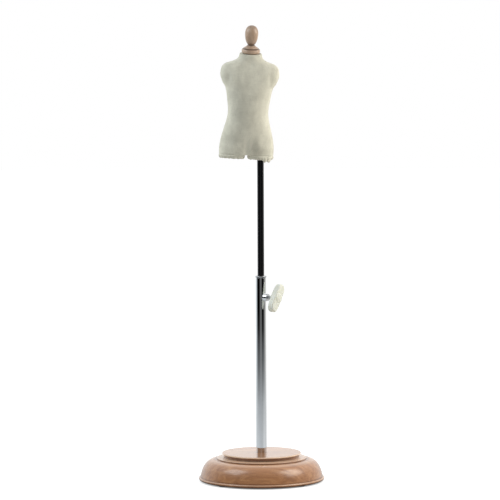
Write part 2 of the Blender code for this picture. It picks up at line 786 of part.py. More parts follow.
def half_row(z, lift=True):
    """Points from the front middle line round the left side to the back middle line."""
    half, front, back, square = measures(z)
    row = []
    for k in range(HALF_POINTS + 1):
        angle = math.pi * k / HALF_POINTS
        x = half * power(math.sin(angle), 2 / square)
        y = -(front if angle < math.pi / 2 else back) * power(math.cos(angle), 2 / square)
        x = max(x, 0.0) if 0 < k < HALF_POINTS else 0.0
        swell = 1 + relief(x, y, z) / math.hypot(x, y)
        row.append(Vector((x * swell, y * swell, z + (neck_lift(y, z) if lift else 0.0))))
    return row


def leg_row(z):
    """The closed outline of the left leg at height z: the outer side, then the inner side."""
    share = math.sqrt(max(0.0, (CROTCH_HEIGHT - z) / CROTCH_HEIGHT))
    outer = half_row(z, lift=False)
    half = max(p.x for p in outer)
    corner = share * (CROTCH_HALF_GAP + 0.007)
    for p in outer:
        p.x = corner + p.x * (half - corner) / half
    front, back = outer[0].y, outer[-1].y
    for p in (outer[0], outer[-1]):
        p.y *= 1 - 0.10 * share
    for p in (outer[1], outer[-2]):
        p.y *= 1 - 0.02 * share
    front, back = outer[0].y, outer[-1].y
    inner = []
    for k in range(1, INNER_POINTS):
        y = back + (front - back) * k / INNER_POINTS
        away = abs(2 * (y - front) / (back - front) - 1)
        x = share * (CROTCH_HALF_GAP + 0.007 * away**4)
        inner.append(Vector((x, y, z)))
    return outer + inner


def leg_middle():
    _, front, back, _ = measures(0.0)
    return Vector((LEG_OFFSET, (back - front) / 2, 0))


def drawn_in(row, distance, z):
    """A leg outline moved in from its edge by a distance, at another height."""
    middle = leg_middle()
    moved = []
    for p in row:
        out = Vector((p.x - middle.x, p.y - middle.y, 0))
        q = p - out.normalized() * distance
        moved.append(Vector((q.x, q.y, z)))
    return moved


def body_surface(neck_rows, leg_rows, top, close_top, close_legs):
    """The left half of the form's skin as a bmesh, open on the middle plane."""
    bm = bmesh.new()
    rows = [half_row(z) for z in body_heights(CROTCH_HEIGHT, top)]
    rows += neck_rows
    grid = [[bm.verts.new(p) for p in row] for row in rows]
    for low, high in zip(grid, grid[1:]):
        for a, b, c, d in zip(low, low[1:], high[1:], high):
            bm.faces.new((a, b, c, d))
    crotch = leg_row(CROTCH_HEIGHT)
    loop = grid[0] + [bm.verts.new(p) for p in crotch[HALF_POINTS + 1 :]]
    for row in leg_rows:
        below = [bm.verts.new(p) for p in row]
        for k in range(len(loop)):
            n = (k + 1) % len(loop)
            bm.faces.new((below[k], below[n], loop[n], loop[k]))
        loop = below
    if close_legs:
        bm.faces.new(loop)
    if close_top:
        bm.faces.new(grid[-1])
    return bm


def mirrored_object(name, bm, finish, torso_frame):
    """The whole piece from its left half, open or closed."""
    bmesh.ops.mirror(bm, geom=list(bm.verts) + list(bm.edges) + list(bm.faces), axis="X", merge_dist=0.00001)
    return add_object(name, bmesh_to_mesh(name, bm), finish, torso_frame)


def leg_rows_to(z_values):
    return [leg_row(z) for z in z_values]


def make_cover(torso_frame):
    """The sewn cover: a skin over the whole body, turned in over the neck top and under each leg."""
    edge = LEG_EDGE_RADIUS
    above = leg_row(edge)
    legs = leg_rows_to([(CROTCH_HEIGHT + edge) / 2, edge])
    for turn in (30, 60, 90):
        a = math.radians(turn)
        legs.append(drawn_in(above, edge * (1 - math.cos(a)), edge * (1 - math.sin(a))))
    legs.append(drawn_in(above, edge + LEG_HEM, 0.0))
    rim = half_row(NECK_TOP)
    middle = Vector((0, neck_middle(), 0))
    neck = []
    edge = NECK_EDGE_RADIUS / NECK_HALF_WIDTH
    for share, rise in ((1 - 0.3 * edge, 0.7), (1 - edge, 1.0), (NECK_HEM_SHARE, 1.0)):
        row = []
        for p in rim:
            flat = Vector((p.x, p.y - middle.y, 0)) * share
            height = NECK_TOP + flat.y * math.tan(NECK_TILT) + NECK_EDGE_RADIUS * rise
            row.append(Vector((flat.x, flat.y + middle.y, height)))
        neck.append(row)
    skin = body_surface(neck, legs, NECK_TOP, False, False)
    cover = mirrored_object("torso_cover", skin, "linen", torso_frame)
    wall = cover.modifiers.new("thickness", "SOLIDIFY")
    wall.thickness = COVER_THICKNESS
    wall.offset = -1.0
    wall.use_even_offset = False
    return cover


def inside_object(name, bm, distance, finish, torso_frame):
    """A closed piece from its left half, with every face moved inwards by a distance."""
    bmesh.ops.mirror(bm, geom=list(bm.verts) + list(bm.edges) + list(bm.faces), axis="X", merge_dist=0.00001)
    bmesh.ops.recalc_face_normals(bm, faces=bm.faces)
    bm.normal_update()
    moves = [-v.normal * distance * min(v.calc_shell_factor(), 1.6) for v in bm.verts]
    for v, move in zip(bm.verts, moves):
        v.co += move
    return add_object(name, bmesh_to_mesh(name, bm), finish, torso_frame)


def board_top():
    return COVER_THICKNESS + GAP + BOARD_THICKNESS


def make_core(torso_frame):
    """The rigid body inside the cover."""
    inset = COVER_THICKNESS + COVER_EASE
    low = board_top() + GAP - inset
    legs = leg_rows_to([(CROTCH_HEIGHT + low) / 2, low])
    skin = body_surface([], legs, NECK_TOP + inset, True, True)
    return inside_object("torso_core", skin, inset, "foam", torso_frame)


def make_leg_board(name, torso_frame, side):
    """The stiff board inside the end of a leg, under which the cover's hem is turned."""
    low = COVER_THICKNESS + GAP
    outline = drawn_in(leg_row(LEG_EDGE_RADIUS), BOARD_INSET, low)
    points = [Vector((side * p.x, p.y, p.z)) for p in outline]
    bm = bmesh.new()
    face = bm.faces.new([bm.verts.new(p) for p in points])
    swept = bmesh.ops.extrude_face_region(bm, geom=[face])
    moved = [v for v in swept["geom"] if isinstance(v, bmesh.types.BMVert)]
    bmesh.ops.translate(bm, verts=moved, vec=(0, 0, BOARD_THICKNESS))
    return add_object(name, bmesh_to_mesh(name, bm), "hardboard", torso_frame)


# ---------------------------------------------------------------- socket in the leg


def leg_end_at_rod():
    """World height of the left leg's end on the rod's axis."""
    return LEG_END_HEIGHT - LEG_OFFSET * math.tan(TORSO_LEAN)


def lean_over(radius):
    """How much a disc of this radius on the rod's axis rises above the leaning leg end."""
    return radius * math.tan(TORSO_LEAN)


def socket_bottom():
    return leg_end_at_rod() + board_top() + lean_over(SOCKET_FLANGE_RADIUS) + GAP


def rod_top():
    return socket_bottom() + SOCKET_DEPTH


def socket_inner_top():
    return rod_top() + GAP + ROD_CAP_THICKNESS + GAP


def make_socket(swivel, core, board):
    """Steel socket with a screwed flange, its screws, and the nylon bush at its mouth."""
    down = -swivel.matrix_basis.translation.z
    low = socket_bottom() + down
    flange_top = low + SOCKET_FLANGE_THICKNESS
    inner_top = socket_inner_top() + down
    outer_top = inner_top + SOCKET_WALL
    socket = turned(
        "rod_socket",
        [
            (0, outer_top),
            (SOCKET_RADIUS - 0.0008, outer_top),
            (SOCKET_RADIUS, outer_top - 0.0008),
            (SOCKET_RADIUS, flange_top),
            (SOCKET_FLANGE_RADIUS, flange_top),
            (SOCKET_FLANGE_RADIUS, low),
            (SOCKET_BORE, low),
            (SOCKET_BORE, inner_top),
            (0, inner_top),
        ],
        "steel",
        swivel,
        steps=24,
    )
    pocket = turned(
        "cut_socket_pocket",
        [
            (0, outer_top + GAP),
            (SOCKET_RADIUS + GAP, outer_top + GAP),
            (SOCKET_RADIUS + GAP, flange_top + GAP),
            (SOCKET_FLANGE_RADIUS + GAP, flange_top + GAP),
            (SOCKET_FLANGE_RADIUS + GAP, low - THROUGH * 3),
            (0, low - THROUGH * 3),
        ],
        None,
        swivel,
        steps=28,
    )
    cut(core, pocket)
    screw_length = 0.016
    for k, spot in enumerate(circle_places(SOCKET_SCREW_COUNT, SOCKET_SCREW_CIRCLE, math.radians(90)), 1):
        place = Matrix.Translation((0, 0, low)) @ spot
        turned(f"socket_screw_{k}", wood_screw_profile(screw_length), "steel", swivel, place, 12)
        hole = turned(f"cut_socket_screw_{k}", screw_hole_profile(screw_length), None, swivel, place, 14)
        cut(socket, hole)
        cut(core, hole)
    sleeve = SOCKET_BORE - GAP
    bore = ROD_RADIUS + RUN
    collar_top = leg_end_at_rod() + down + COVER_THICKNESS - lean_over(BUSH_COLLAR_RADIUS)
    collar_foot = leg_end_at_rod() + down - BUSH_PROUD
    turned(
        "socket_bush",
        [
            (bore, low + BUSH_SLEEVE_LENGTH),
            (sleeve, low + BUSH_SLEEVE_LENGTH),
            (sleeve, collar_top),
            (BUSH_COLLAR_RADIUS, collar_top),
            (BUSH_COLLAR_RADIUS, collar_foot + 0.0008),
            (BUSH_COLLAR_RADIUS - 0.0008, collar_foot),
            (bore, collar_foot),
        ],
        "nylon",
        swivel,
        steps=24,
    )
    board_hole = cutter("cut_board_hole", sleeve + GAP, collar_foot, low + THROUGH, swivel, sides=24)
    cut(board, board_hole)


# ---------------------------------------------------------------- neck cap and finial


def neck_cap_profile():
    """Half-round rim, groove and a cone that narrows to the finial."""
    rim_middle = CAP_RIM_HEIGHT / 2
    rim = [
        (CAP_RADIUS * (0.82 + 0.18 * math.cos(a)), rim_middle + rim_middle * math.sin(a))
        for a in np.radians(np.linspace(75, -90, 6))
    ]
    bore = STUD_RADIUS + GAP
    groove = CAP_RADIUS * 0.77
    cone_foot = (CAP_RADIUS * 0.80, CAP_RIM_HEIGHT + 0.0016)
    cone_head = (CAP_TOP_RADIUS, CAP_HEIGHT - 0.0008)
    cone = [cone_foot]
    for k in range(1, 4):
        t = k / 4
        sag = 0.0010 * math.sin(math.pi * t)
        radius = cone_foot[0] + (cone_head[0] - cone_foot[0]) * t - sag
        cone.append((radius, cone_foot[1] + (cone_head[1] - cone_foot[1]) * t))
    down = [(bore, CAP_HEIGHT), (CAP_TOP_RADIUS - 0.0008, CAP_HEIGHT), cone_head] + cone[::-1][:-1]
    return down + [cone_foot, (groove, CAP_RIM_HEIGHT + 0.0006)] + rim + [(bore, 0)]


def finial_profile():
    """An egg with its fuller end up, on a small flat foot. It holds a blind bore for the stud."""
    full = 0.60 * FINIAL_HEIGHT
    points = []
    for a in np.radians(np.linspace(90, 0, 7)):
        points.append((FINIAL_RADIUS * math.cos(a) ** 0.86, full + (FINIAL_HEIGHT - full) * math.sin(a)))
    points[0] = (0.0, FINIAL_HEIGHT)
    for t in (0.22, 0.44, 0.62, 0.78, 0.90):
        swell = (1 - t**2.3) ** 0.62
        points.append((FINIAL_FOOT_RADIUS + (FINIAL_RADIUS - FINIAL_FOOT_RADIUS) * swell, full * (1 - t)))
    points.append((FINIAL_FOOT_RADIUS, 0))
    bore = STUD_RADIUS + GAP
    return points + [(bore, 0), (bore, STUD_IN_FINIAL + GAP), (0, STUD_IN_FINIAL + GAP)]


def make_neck_top(torso_frame, core):
    """Block, cap, finial and the stud through them, all square to the slanted neck top."""
    middle = (0, neck_middle(), NECK_TOP)
    neck_frame = add_empty(
        "neck_frame", Matrix.Translation(middle) @ Matrix.Rotation(NECK_TILT, 4, "X"), torso_frame
    )
    block = turned(
        "neck_block",
        solid_profile(NECK_BLOCK_RADIUS, -NECK_BLOCK_HEIGHT, 0, 0.0006),
        "pale_beech",
        neck_frame,
        steps=24,
    )
    pocket = turned(
        "cut_neck_pocket",
        solid_profile(NECK_BLOCK_RADIUS + GAP, -NECK_BLOCK_HEIGHT - GAP, THROUGH),
        None,
        neck_frame,
        steps=24,
    )
    cut(core, pocket)
    cap_foot = NECK_EDGE_RADIUS + GAP
    turned("neck_cap", neck_cap_profile(), "pale_beech", neck_frame, Matrix.Translation((0, 0, cap_foot)), 24)
    finial_foot = cap_foot + CAP_HEIGHT + GAP
    turned("finial", finial_profile(), "pale_beech", neck_frame, Matrix.Translation((0, 0, finial_foot)), 20)
    stud = solid_profile(STUD_RADIUS, -STUD_IN_BLOCK, finial_foot + STUD_IN_FINIAL, 0.0005)
    turned("finial_stud", stud, "steel", neck_frame, steps=14)
    hole = cutter("cut_stud_hole", STUD_RADIUS + GAP, -STUD_IN_BLOCK - GAP, THROUGH, neck_frame, sides=14)
    cut(block, hole)


# ---------------------------------------------------------------- assembly


def main():
    torso_swivel = add_empty("torso_swivel", Matrix.Translation((0, 0, leg_end_at_rod())))
    torso_place = Matrix.Translation((-LEG_OFFSET, 0, LEG_END_HEIGHT - leg_end_at_rod()))
    torso_frame = add_empty("torso_frame", torso_place @ Matrix.Rotation(TORSO_LEAN, 4, "Y"), torso_swivel)
    rod_frame = add_empty("height_slide", Matrix.Translation((0, 0, TUBE_TOP)))
    clamp_place = Matrix.Translation((0, 0, CLAMP_HEIGHT)) @ Matrix.Rotation(CLAMP_TURN, 4, "Z")
    clamp_frame = add_empty("clamp_frame", clamp_place)
    pad_frame = add_empty("clamp_travel", clamp_place)
    knob_frame = add_empty("clamp_turn", clamp_place)

    make_base()
    make_column(clamp_frame)
    make_clamp(clamp_frame, pad_frame, knob_frame)
    make_rod(rod_frame)
    make_cover(torso_frame)
    core = make_core(torso_frame)
    make_leg_board("right_leg_board", torso_frame, -1)
    board = make_leg_board("left_leg_board", torso_frame, 1)
    make_socket(torso_swivel, core, board)
    make_neck_top(torso_frame, core)


clear_scene()
PARTS = make_collection("dress_form")
CUTTERS = make_collection("cutters")
FINISHES = make_materials()
main()
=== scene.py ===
# %% [markdown]
# # A dress form on a turned stand
#
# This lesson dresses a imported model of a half-scale child's dress form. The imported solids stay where
# they are. Each step looks at one piece of the real thing, says how it could be made in Blender, and
# then works its surface out with numpy: as points on a grid, or as a profile carried round an axis.
# All lengths are metres, +Z is up and the form faces -Y.

# %% Load the fixed frame
import json

import bmesh
import bpy
import numpy as np
from mathutils import Matrix, Vector


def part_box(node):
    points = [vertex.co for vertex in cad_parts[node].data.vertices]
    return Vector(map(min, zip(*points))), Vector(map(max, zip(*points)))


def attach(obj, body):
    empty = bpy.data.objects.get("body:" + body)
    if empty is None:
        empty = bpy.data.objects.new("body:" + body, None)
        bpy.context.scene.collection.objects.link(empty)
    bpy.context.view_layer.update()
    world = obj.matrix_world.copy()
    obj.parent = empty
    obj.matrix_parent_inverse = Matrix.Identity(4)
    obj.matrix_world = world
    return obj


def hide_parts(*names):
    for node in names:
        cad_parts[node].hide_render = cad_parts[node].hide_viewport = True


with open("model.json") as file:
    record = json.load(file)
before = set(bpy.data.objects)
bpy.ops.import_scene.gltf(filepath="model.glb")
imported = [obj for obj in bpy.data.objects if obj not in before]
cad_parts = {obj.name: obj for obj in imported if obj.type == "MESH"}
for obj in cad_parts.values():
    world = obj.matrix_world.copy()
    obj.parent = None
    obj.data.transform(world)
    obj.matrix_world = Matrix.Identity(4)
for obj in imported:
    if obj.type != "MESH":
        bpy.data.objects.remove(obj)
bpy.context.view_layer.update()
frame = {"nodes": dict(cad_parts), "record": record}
solids = frame["nodes"]
scene = bpy.context.scene

# %% [markdown]
# ## The camera
#
# A long lens from far away keeps upright lines parallel, as in a catalogue picture. The place was
# worked out from two things of known shape: the base, whose circle appears as a flat ellipse, and
# the column, whose length and lean on the picture give the tilt and the slight roll.

# %% The camera
SENSOR_WIDTH, FOCAL_LENGTH = 36.0, 334.2  # millimetres, which is what Blender's lenses take
CAMERA_PLACE, TILT_DOWN, ROLL = (-0.0257, -11.0, 1.66), 5.738, -0.225  # the two angles in degrees

lens = bpy.data.cameras.new("catalogue_camera")
lens.sensor_width, lens.lens = SENSOR_WIDTH, FOCAL_LENGTH
camera = bpy.data.objects.new("catalogue_camera", lens)
tilt = Matrix.Rotation(np.radians(90.0 - TILT_DOWN), 4, "X") @ Matrix.Rotation(np.radians(ROLL), 4, "Z")
camera.matrix_world = Matrix.Translation(CAMERA_PLACE) @ tilt
scene.collection.objects.link(camera)
scene.camera = camera
scene.view_settings.view_transform = "Standard"
print("camera at", [round(v, 3) for v in camera.matrix_world.translation])

# %% [markdown]
# ## Node helpers
#
# Materials, the floor and the surroundings are all node trees. One short function that makes a node,
# sets its values and joins its sockets keeps each tree readable. An input may be given by its name or
# by its number, and its value is either a plain value or another node's output.


# %% Node helpers
def node(tree, kind, inputs=None, **settings):
    """A shader node of that kind with its settings, and its inputs set or joined."""
    made = tree.nodes.new("ShaderNode" + kind)
    for name, value in settings.items():
        setattr(made, name, value)
    for name, value in (inputs or {}).items():
        if isinstance(value, bpy.types.NodeSocket):
            tree.links.new(value, made.inputs[name])
        else:
            made.inputs[name].default_value = value
    return made


def reckon(tree, operation, *values):
    """One step of arithmetic on plain numbers or other nodes' outputs."""
    return node(tree, "Math", dict(enumerate(values)), operation=operation).outputs[0]


def ramp(tree, value, stops):
    """A colour that changes with a value, through (place, colour) stops."""
    made = node(tree, "ValToRGB", {0: value})
    points = made.color_ramp.elements
    while len(points) < len(stops):
        points.new(0.5)
    for point, (place, colour) in zip(points, stops):
        point.position = place
        point.color = (*colour, 1.0)
    return made.outputs[0]


def blend_of(tree, share, first, second, way="MIX"):
    """Two colours mixed in one of Blender's ways."""
    pair = {
        key: value if isinstance(value, bpy.types.NodeSocket) else (*value, 1.0)
        for key, value in ((6, first), (7, second))
    }
    return node(tree, "Mix", {0: share, **pair}, data_type="RGBA", blend_type=way).outputs[2]


def remapped(tree, value, low, high, new_low, new_high, way="LINEAR"):
    """A value taken from one range to another, in a straight line at first, and held at the ends."""
    ranges = {0: value, 1: low, 2: high, 3: new_low, 4: new_high}
    return node(tree, "MapRange", ranges, interpolation_type=way).outputs[0]


def grey(tree, value):
    """A colour with the same value in its red, green and blue."""
    return node(tree, "CombineColor", {0: value, 1: value, 2: value}).outputs[0]


print("node helpers:", [helper.__name__ for helper in (node, reckon, ramp, blend_of, remapped, grey)])


# %% [markdown]
# ## The studio
#
# The photograph is taken in a white room: white behind and at both sides, and darker where the camera
# stands. The chromed tube shows that room as upright stripes. A painted backdrop or six big lamps could
# stand for the room, but a world whose brightness depends on the compass direction is simpler, and it
# lights the cloth in the same way. The ceiling is brighter at the back than above the camera. What looks
# straight at the world sees plain white.

# %% The studio's surroundings
world = bpy.data.worlds.new("white_room")
scene.world = world
world.use_nodes = True
room = world.node_tree
room.nodes.clear()

COMPASS = [  # degrees from the camera's side, + to the right; brightness
    (-180, (1.0, 1.0, 1.0)),
    (-135, (0.94, 0.98, 1.0)),
    (-112, (0.74, 0.79, 0.82)),
    (-98, (0.50, 0.54, 0.56)),
    (-86, (0.10, 0.11, 0.11)),
    (-77, (0.0, 0.0, 0.0)),
    (-42, (0.0, 0.0, 0.0)),
    (-24, (0.06, 0.06, 0.06)),
    (-4, (0.20, 0.20, 0.20)),
    (10, (0.12, 0.12, 0.12)),
    (24, (0.0, 0.0, 0.0)),
    (47, (0.0, 0.0, 0.0)),
    (63, (0.06, 0.06, 0.06)),
    (80, (0.28, 0.28, 0.27)),
    (98, (0.50, 0.49, 0.47)),
    (118, (0.78, 0.77, 0.74)),
    (142, (1.0, 0.99, 0.96)),
    (180, (1.0, 1.0, 1.0)),
]


def compass_colour(tree, east, north, stops):
    """A colour that depends on the direction on the floor plan, given by its two parts."""
    turn = reckon(tree, "ARCTAN2", east, reckon(tree, "MULTIPLY", north, -1.0))
    place = remapped(tree, turn, -np.pi, np.pi, 0.0, 1.0)
    return ramp(tree, place, [((angle + 180) / 360, colour) for angle, colour in stops])


toward = node(room, "SeparateXYZ", {0: node(room, "TexCoord").outputs["Generated"]})
walls = compass_colour(room, toward.outputs[0], toward.outputs[1], COMPASS)
overhead = remapped(room, toward.outputs[2], 0.22, 0.75, 0.0, 1.0)
ceiling = ramp(room, remapped(room, toward.outputs[1], -0.75, 0.65, 0.0, 1.0), [  # from front to back
    (0.0, (0.42, 0.42, 0.42)), (0.5, (0.70, 0.72, 0.74)), (1.0, (0.92, 0.94, 0.96)),
])
seen_round = blend_of(room, overhead, walls, ceiling)
path = node(room, "LightPath")
straight = reckon(room, "MAXIMUM", path.outputs["Is Camera Ray"], path.outputs["Is Transmission Ray"])
seen = blend_of(room, straight, seen_round, (1.0, 1.0, 1.0))
surroundings = node(room, "Background", {"Color": seen, "Strength": 1.0})
room.links.new(surroundings.outputs[0], node(room, "OutputWorld").inputs[0])
print("world nodes:", len(room.nodes))

# %% [markdown]
# Two soft boxes high at the sides put the long highlights on the lacquered dome, and two smaller ones
# further back at the torso's height brighten its edges. Those two don't show in gloss, because the dome
# would mirror them as hard spots. The left pair is a little cooler and weaker than the right one, as the
# two edges of the cloth are in the picture.


# %% The soft boxes
def soft_box(name, place, aim, size, power, colour, mirrored=True):
    """A square lamp at a place, turned to shine at a point: its +Z axis points away from what it lights.
    The size is in metres and the power in watts. Gloss shows the lamp where mirrored is true."""
    lamp = bpy.data.lights.new(name, "AREA")
    lamp.size, lamp.energy, lamp.color = size, power, colour
    box = bpy.data.objects.new(name, lamp)
    away = Vector(place) - Vector(aim)
    box.matrix_world = Matrix.Translation(place) @ away.to_track_quat("Z", "Y").to_matrix().to_4x4()
    box.visible_glossy = mirrored
    scene.collection.objects.link(box)
    return box


COLUMN, TORSO = (0.0, 0.0, 0.45), (0.0, 0.0, 0.85)
soft_box("left_soft_box", (-1.25, -0.46, 1.60), COLUMN, 1.1, 12.0, (0.90, 0.96, 1.0))
soft_box("right_soft_box", (1.38, -0.40, 1.36), COLUMN, 1.15, 18.0, (1.0, 0.96, 0.89))
soft_box("left_edge_box", (-1.30, 0.60, 1.15), TORSO, 0.7, 3.5, (0.92, 0.97, 1.0), mirrored=False)
soft_box("right_edge_box", (1.30, 0.60, 1.15), TORSO, 0.7, 6.0, (1.0, 0.97, 0.91), mirrored=False)
print("lamps:", {lamp.name: lamp.energy for lamp in bpy.data.lights})

# %% [markdown]
# ## The floor
#
# The floor is white paper that runs out of sight. A plain white diffuse plane would show grey where the
# light falls off, so what the camera sees of it also glows a little: open floor is then white, and the
# object's own shadow still darkens it. Under the base the glow fades out, as a painted shadow. In polished
# metal the floor shows a painted glow instead of its lit self: the room's colour further out and paler
# close by, so that the tube has a dark front that gets lighter towards its foot, and a painted shadow makes
# it dark close under the base. It lights the rest as plain paper.

# %% The floor
FLOOR_REACH, FAR = 9.0, 3.6  # half the floor's width, and where its mirrored colour is the room's own

paper = bpy.data.materials.new("floor_paper")
paper.use_nodes = True
tree = paper.node_tree
tree.nodes.clear()
spot = node(tree, "TexCoord").outputs["Object"]
part_of_spot = node(tree, "SeparateXYZ", {0: spot})
east, north = part_of_spot.outputs[0], part_of_spot.outputs[1]
far_colour = compass_colour(tree, east, north, COMPASS)
near_colour = compass_colour(tree, east, north, [
    (-180, (0.76, 0.80, 0.82)), (-100, (0.69, 0.73, 0.75)), (-68, (0.67, 0.71, 0.73)),
    (-43, (0.62, 0.66, 0.68)), (-20, (0.59, 0.62, 0.64)), (18, (0.56, 0.59, 0.60)),
    (42, (0.70, 0.73, 0.74)), (68, (0.78, 0.81, 0.82)), (100, (0.73, 0.75, 0.75)), (180, (0.76, 0.80, 0.82)),
])
distance = node(tree, "VectorMath", {0: spot}, operation="LENGTH").outputs["Value"]
NEAR_SHARES = (0.17, 1.0), (0.27, 0.87), (0.37, 0.75), (0.48, 0.48), (0.60, 0.26), (0.86, 0.03), (1.0, 0.0)
near_stops = [(at, (part,) * 3) for at, part in NEAR_SHARES]
near_share = ramp(tree, reckon(tree, "DIVIDE", distance, FAR), near_stops)
grain = node(tree, "TexNoise", {"Vector": spot, "Scale": 60.0, "Detail": 6.0}).outputs[0]
fibre = remapped(tree, grain, 0.3, 0.7, 0.985, 1.0)
path = node(tree, "LightPath")
# the floor in gloss is a painted glow: the room's colour far out, paler near the column
mirrored = blend_of(tree, near_share, far_colour, near_colour)
white = grey(tree, fibre)
shown = node(tree, "BsdfDiffuse", {"Color": blend_of(tree, 0.45, (0.0, 0.0, 0.0), white)})
# painted shadow: the glow fades out under the base
glow_with_painted_shadow = remapped(tree, distance, 0.132, 0.150, 0.10, 0.75)
glow = node(tree, "Emission", {"Color": white, "Strength": glow_with_painted_shadow})
paper_seen = node(tree, "AddShader", {0: shown.outputs[0], 1: glow.outputs[0]})
paper_lit = node(tree, "BsdfDiffuse", {"Color": (0.66, 0.65, 0.63, 1.0)})
# painted shadow: in gloss the floor is dark close under the base
painted_shadow_in_gloss = remapped(tree, distance, 0.148, 0.180, 0.06, 1.0)
paper_painted_glow_in_gloss = node(tree, "Emission", {"Color": mirrored, "Strength": painted_shadow_in_gloss})
glossy, straight = path.outputs["Is Glossy Ray"], path.outputs["Is Camera Ray"]
unseen = node(tree, "MixShader", {0: glossy, 1: paper_lit.outputs[0], 2: paper_painted_glow_in_gloss.outputs[0]})
either = node(tree, "MixShader", {0: straight, 1: unseen.outputs[0], 2: paper_seen.outputs[0]})
tree.links.new(either.outputs[0], node(tree, "OutputMaterial").inputs[0])

floor_mesh = bpy.data.meshes.new("floor")
corners = [(x * FLOOR_REACH, y * FLOOR_REACH, 0.0) for x, y in ((-1, -1), (1, -1), (1, 1), (-1, 1))]
floor_mesh.from_pydata(corners, [], [(0, 1, 2, 3)])
floor_mesh.materials.append(paper)
floor = bpy.data.objects.new("floor", floor_mesh)
scene.collection.objects.link(floor)
print("floor nodes:", len(tree.nodes))

# %% [markdown]
# ## From grids to meshes
#
# Every new piece below is one or more grids of points: rows and columns, with the last column lying on
# the first where the surface closes. Neighbouring points make quads, points that coincide are welded
# (at a seam, or all round a pole), and a surface that came out inside out is turned. Each grid can carry
# its own flat coordinates, in metres, for patterns that follow the surface.


# %% Grid to mesh
WELD = 0.000002  # points closer than this are one point


def grid_quads(rows, columns, first):
    """The corner numbers of each quad between neighbouring rows and columns."""
    number = np.arange(rows * columns).reshape(rows, columns) + first
    return np.stack([number[:-1, :-1], number[:-1, 1:], number[1:, 1:], number[1:, :-1]], -1).reshape(-1, 4)


def flat_lengths(grid):
    """Flat coordinates of a grid: the lengths run along its columns and its rows, from the first."""
    across = np.linalg.norm(np.diff(grid, axis=1), axis=2)
    along = np.linalg.norm(np.diff(grid, axis=0), axis=2)
    u = np.hstack([np.zeros((len(grid), 1)), np.cumsum(across, 1)])
    v = np.vstack([np.zeros(grid.shape[1]), np.cumsum(along, 0)])
    return np.stack([u, v], -1)


def faces_in(grid):
    """True where a grid's quads face its own middle: their volume about it is then negative."""
    p = grid - grid.reshape(-1, 3).mean(0)
    a, b, c, d = p[:-1, :-1], p[:-1, 1:], p[1:, 1:], p[1:, :-1]
    return (np.cross(b - a, c - a) * a).sum() + (np.cross(c - a, d - a) * a).sum() < 0


def grid_mesh(name, grids, flats):
    """One mesh from grids of points and their flat coordinates: each grid turned to face outwards, and
    the points that coincide made one."""
    turned_over = [faces_in(grid) for grid in grids]
    grids = [grid[:, ::-1] if over else grid for grid, over in zip(grids, turned_over)]
    flats = [flat[:, ::-1] if over else flat for flat, over in zip(flats, turned_over)]
    starts = np.cumsum([0] + [grid.shape[0] * grid.shape[1] for grid in grids])
    quads = np.vstack([grid_quads(*grid.shape[:2], first) for grid, first in zip(grids, starts)])
    points = np.vstack([grid.reshape(-1, 3) for grid in grids])
    flat = np.vstack([flat.reshape(-1, 2) for flat in flats])
    mesh = bpy.data.meshes.new(name)
    mesh.from_pydata(points, [], quads.tolist())
    mesh.uv_layers.new(name="lengths").data.foreach_set("uv", flat[quads.ravel()].ravel())
    bm = bmesh.new()
    bm.from_mesh(mesh)
    bmesh.ops.remove_doubles(bm, verts=bm.verts, dist=WELD)
    bm.to_mesh(mesh)
    bm.free()
    return mesh


def piece(name, grids, finish, body, stands_for, flats=None, sharp=40.0):
    """An object from grids of points, smooth but where its faces meet at more than the sharp angle. It
    rides on a body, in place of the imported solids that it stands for."""
    mesh = grid_mesh(name, grids, flats or [flat_lengths(grid) for grid in grids])
    mesh.shade_smooth()
    mesh.set_sharp_from_angle(angle=np.radians(sharp))
    mesh.materials.append(finish)
    made = bpy.data.objects.new(name, mesh)
    scene.collection.objects.link(made)
    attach(made, body)
    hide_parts(*stands_for)
    print(name, "has", len(mesh.polygons), "faces")
    return made


def placed(grid, matrix):
    """A grid moved and turned as a 4 x 4 matrix says."""
    m = np.array(matrix)
    return grid @ m[:3, :3].T + m[:3, 3]


def ring(count):
    """Angles all the way round, with the last equal to the first."""
    return np.linspace(0.0, 2 * np.pi, count + 1)


def held(profile, near=0.0004, long=0.003):
    """The profile with a point near each end of its long straight stretches, which keeps them straight
    in the shading: a round edge next to a long face would otherwise tilt the light on all of it."""
    points = [np.array(profile[0], float)]
    for p, q in zip(profile[:-1], profile[1:]):
        p, q = np.array(p, float), np.array(q, float)
        length = np.linalg.norm(q - p)
        if length > long:
            points += [p + (q - p) * near / length, q - (q - p) * near / length]
        points.append(q)
    return np.array(points)


def lathe(profile, steps, matrix=Matrix()):
    """A turned surface: the point (radius, height) goes to (radius cos a, radius sin a, height)."""
    radius, height = held(profile).T
    a = ring(steps)
    x, y = np.outer(radius, np.cos(a)), np.outer(radius, np.sin(a))
    return placed(np.stack([x, y, np.outer(height, np.ones_like(a))], -1), matrix)


def arc(centre, radius, start, end, count):
    """Points on a circle round a centre from one angle to another, in degrees."""
    a = np.radians(np.linspace(start, end, count))
    return np.stack([centre[0] + radius * np.cos(a), centre[1] + radius * np.sin(a)], 1)


def bezier(a, b, c, d, count):
    """Points on the curve with four control points: each is a weighted mean of the four."""
    t = np.linspace(0.0, 1.0, count)[:, None]
    a, b, c, d = (np.array(p, float) for p in (a, b, c, d))
    return (1 - t) ** 3 * a + 3 * (1 - t) ** 2 * t * b + 3 * (1 - t) * t**2 * c + t**3 * d


ball = lathe(arc((0, 0), 1.0, 90, -90, 9), 16)
print("half a circle on the lathe gives a ball:", ball.shape[:2], "points, faces in:", bool(faces_in(ball)))
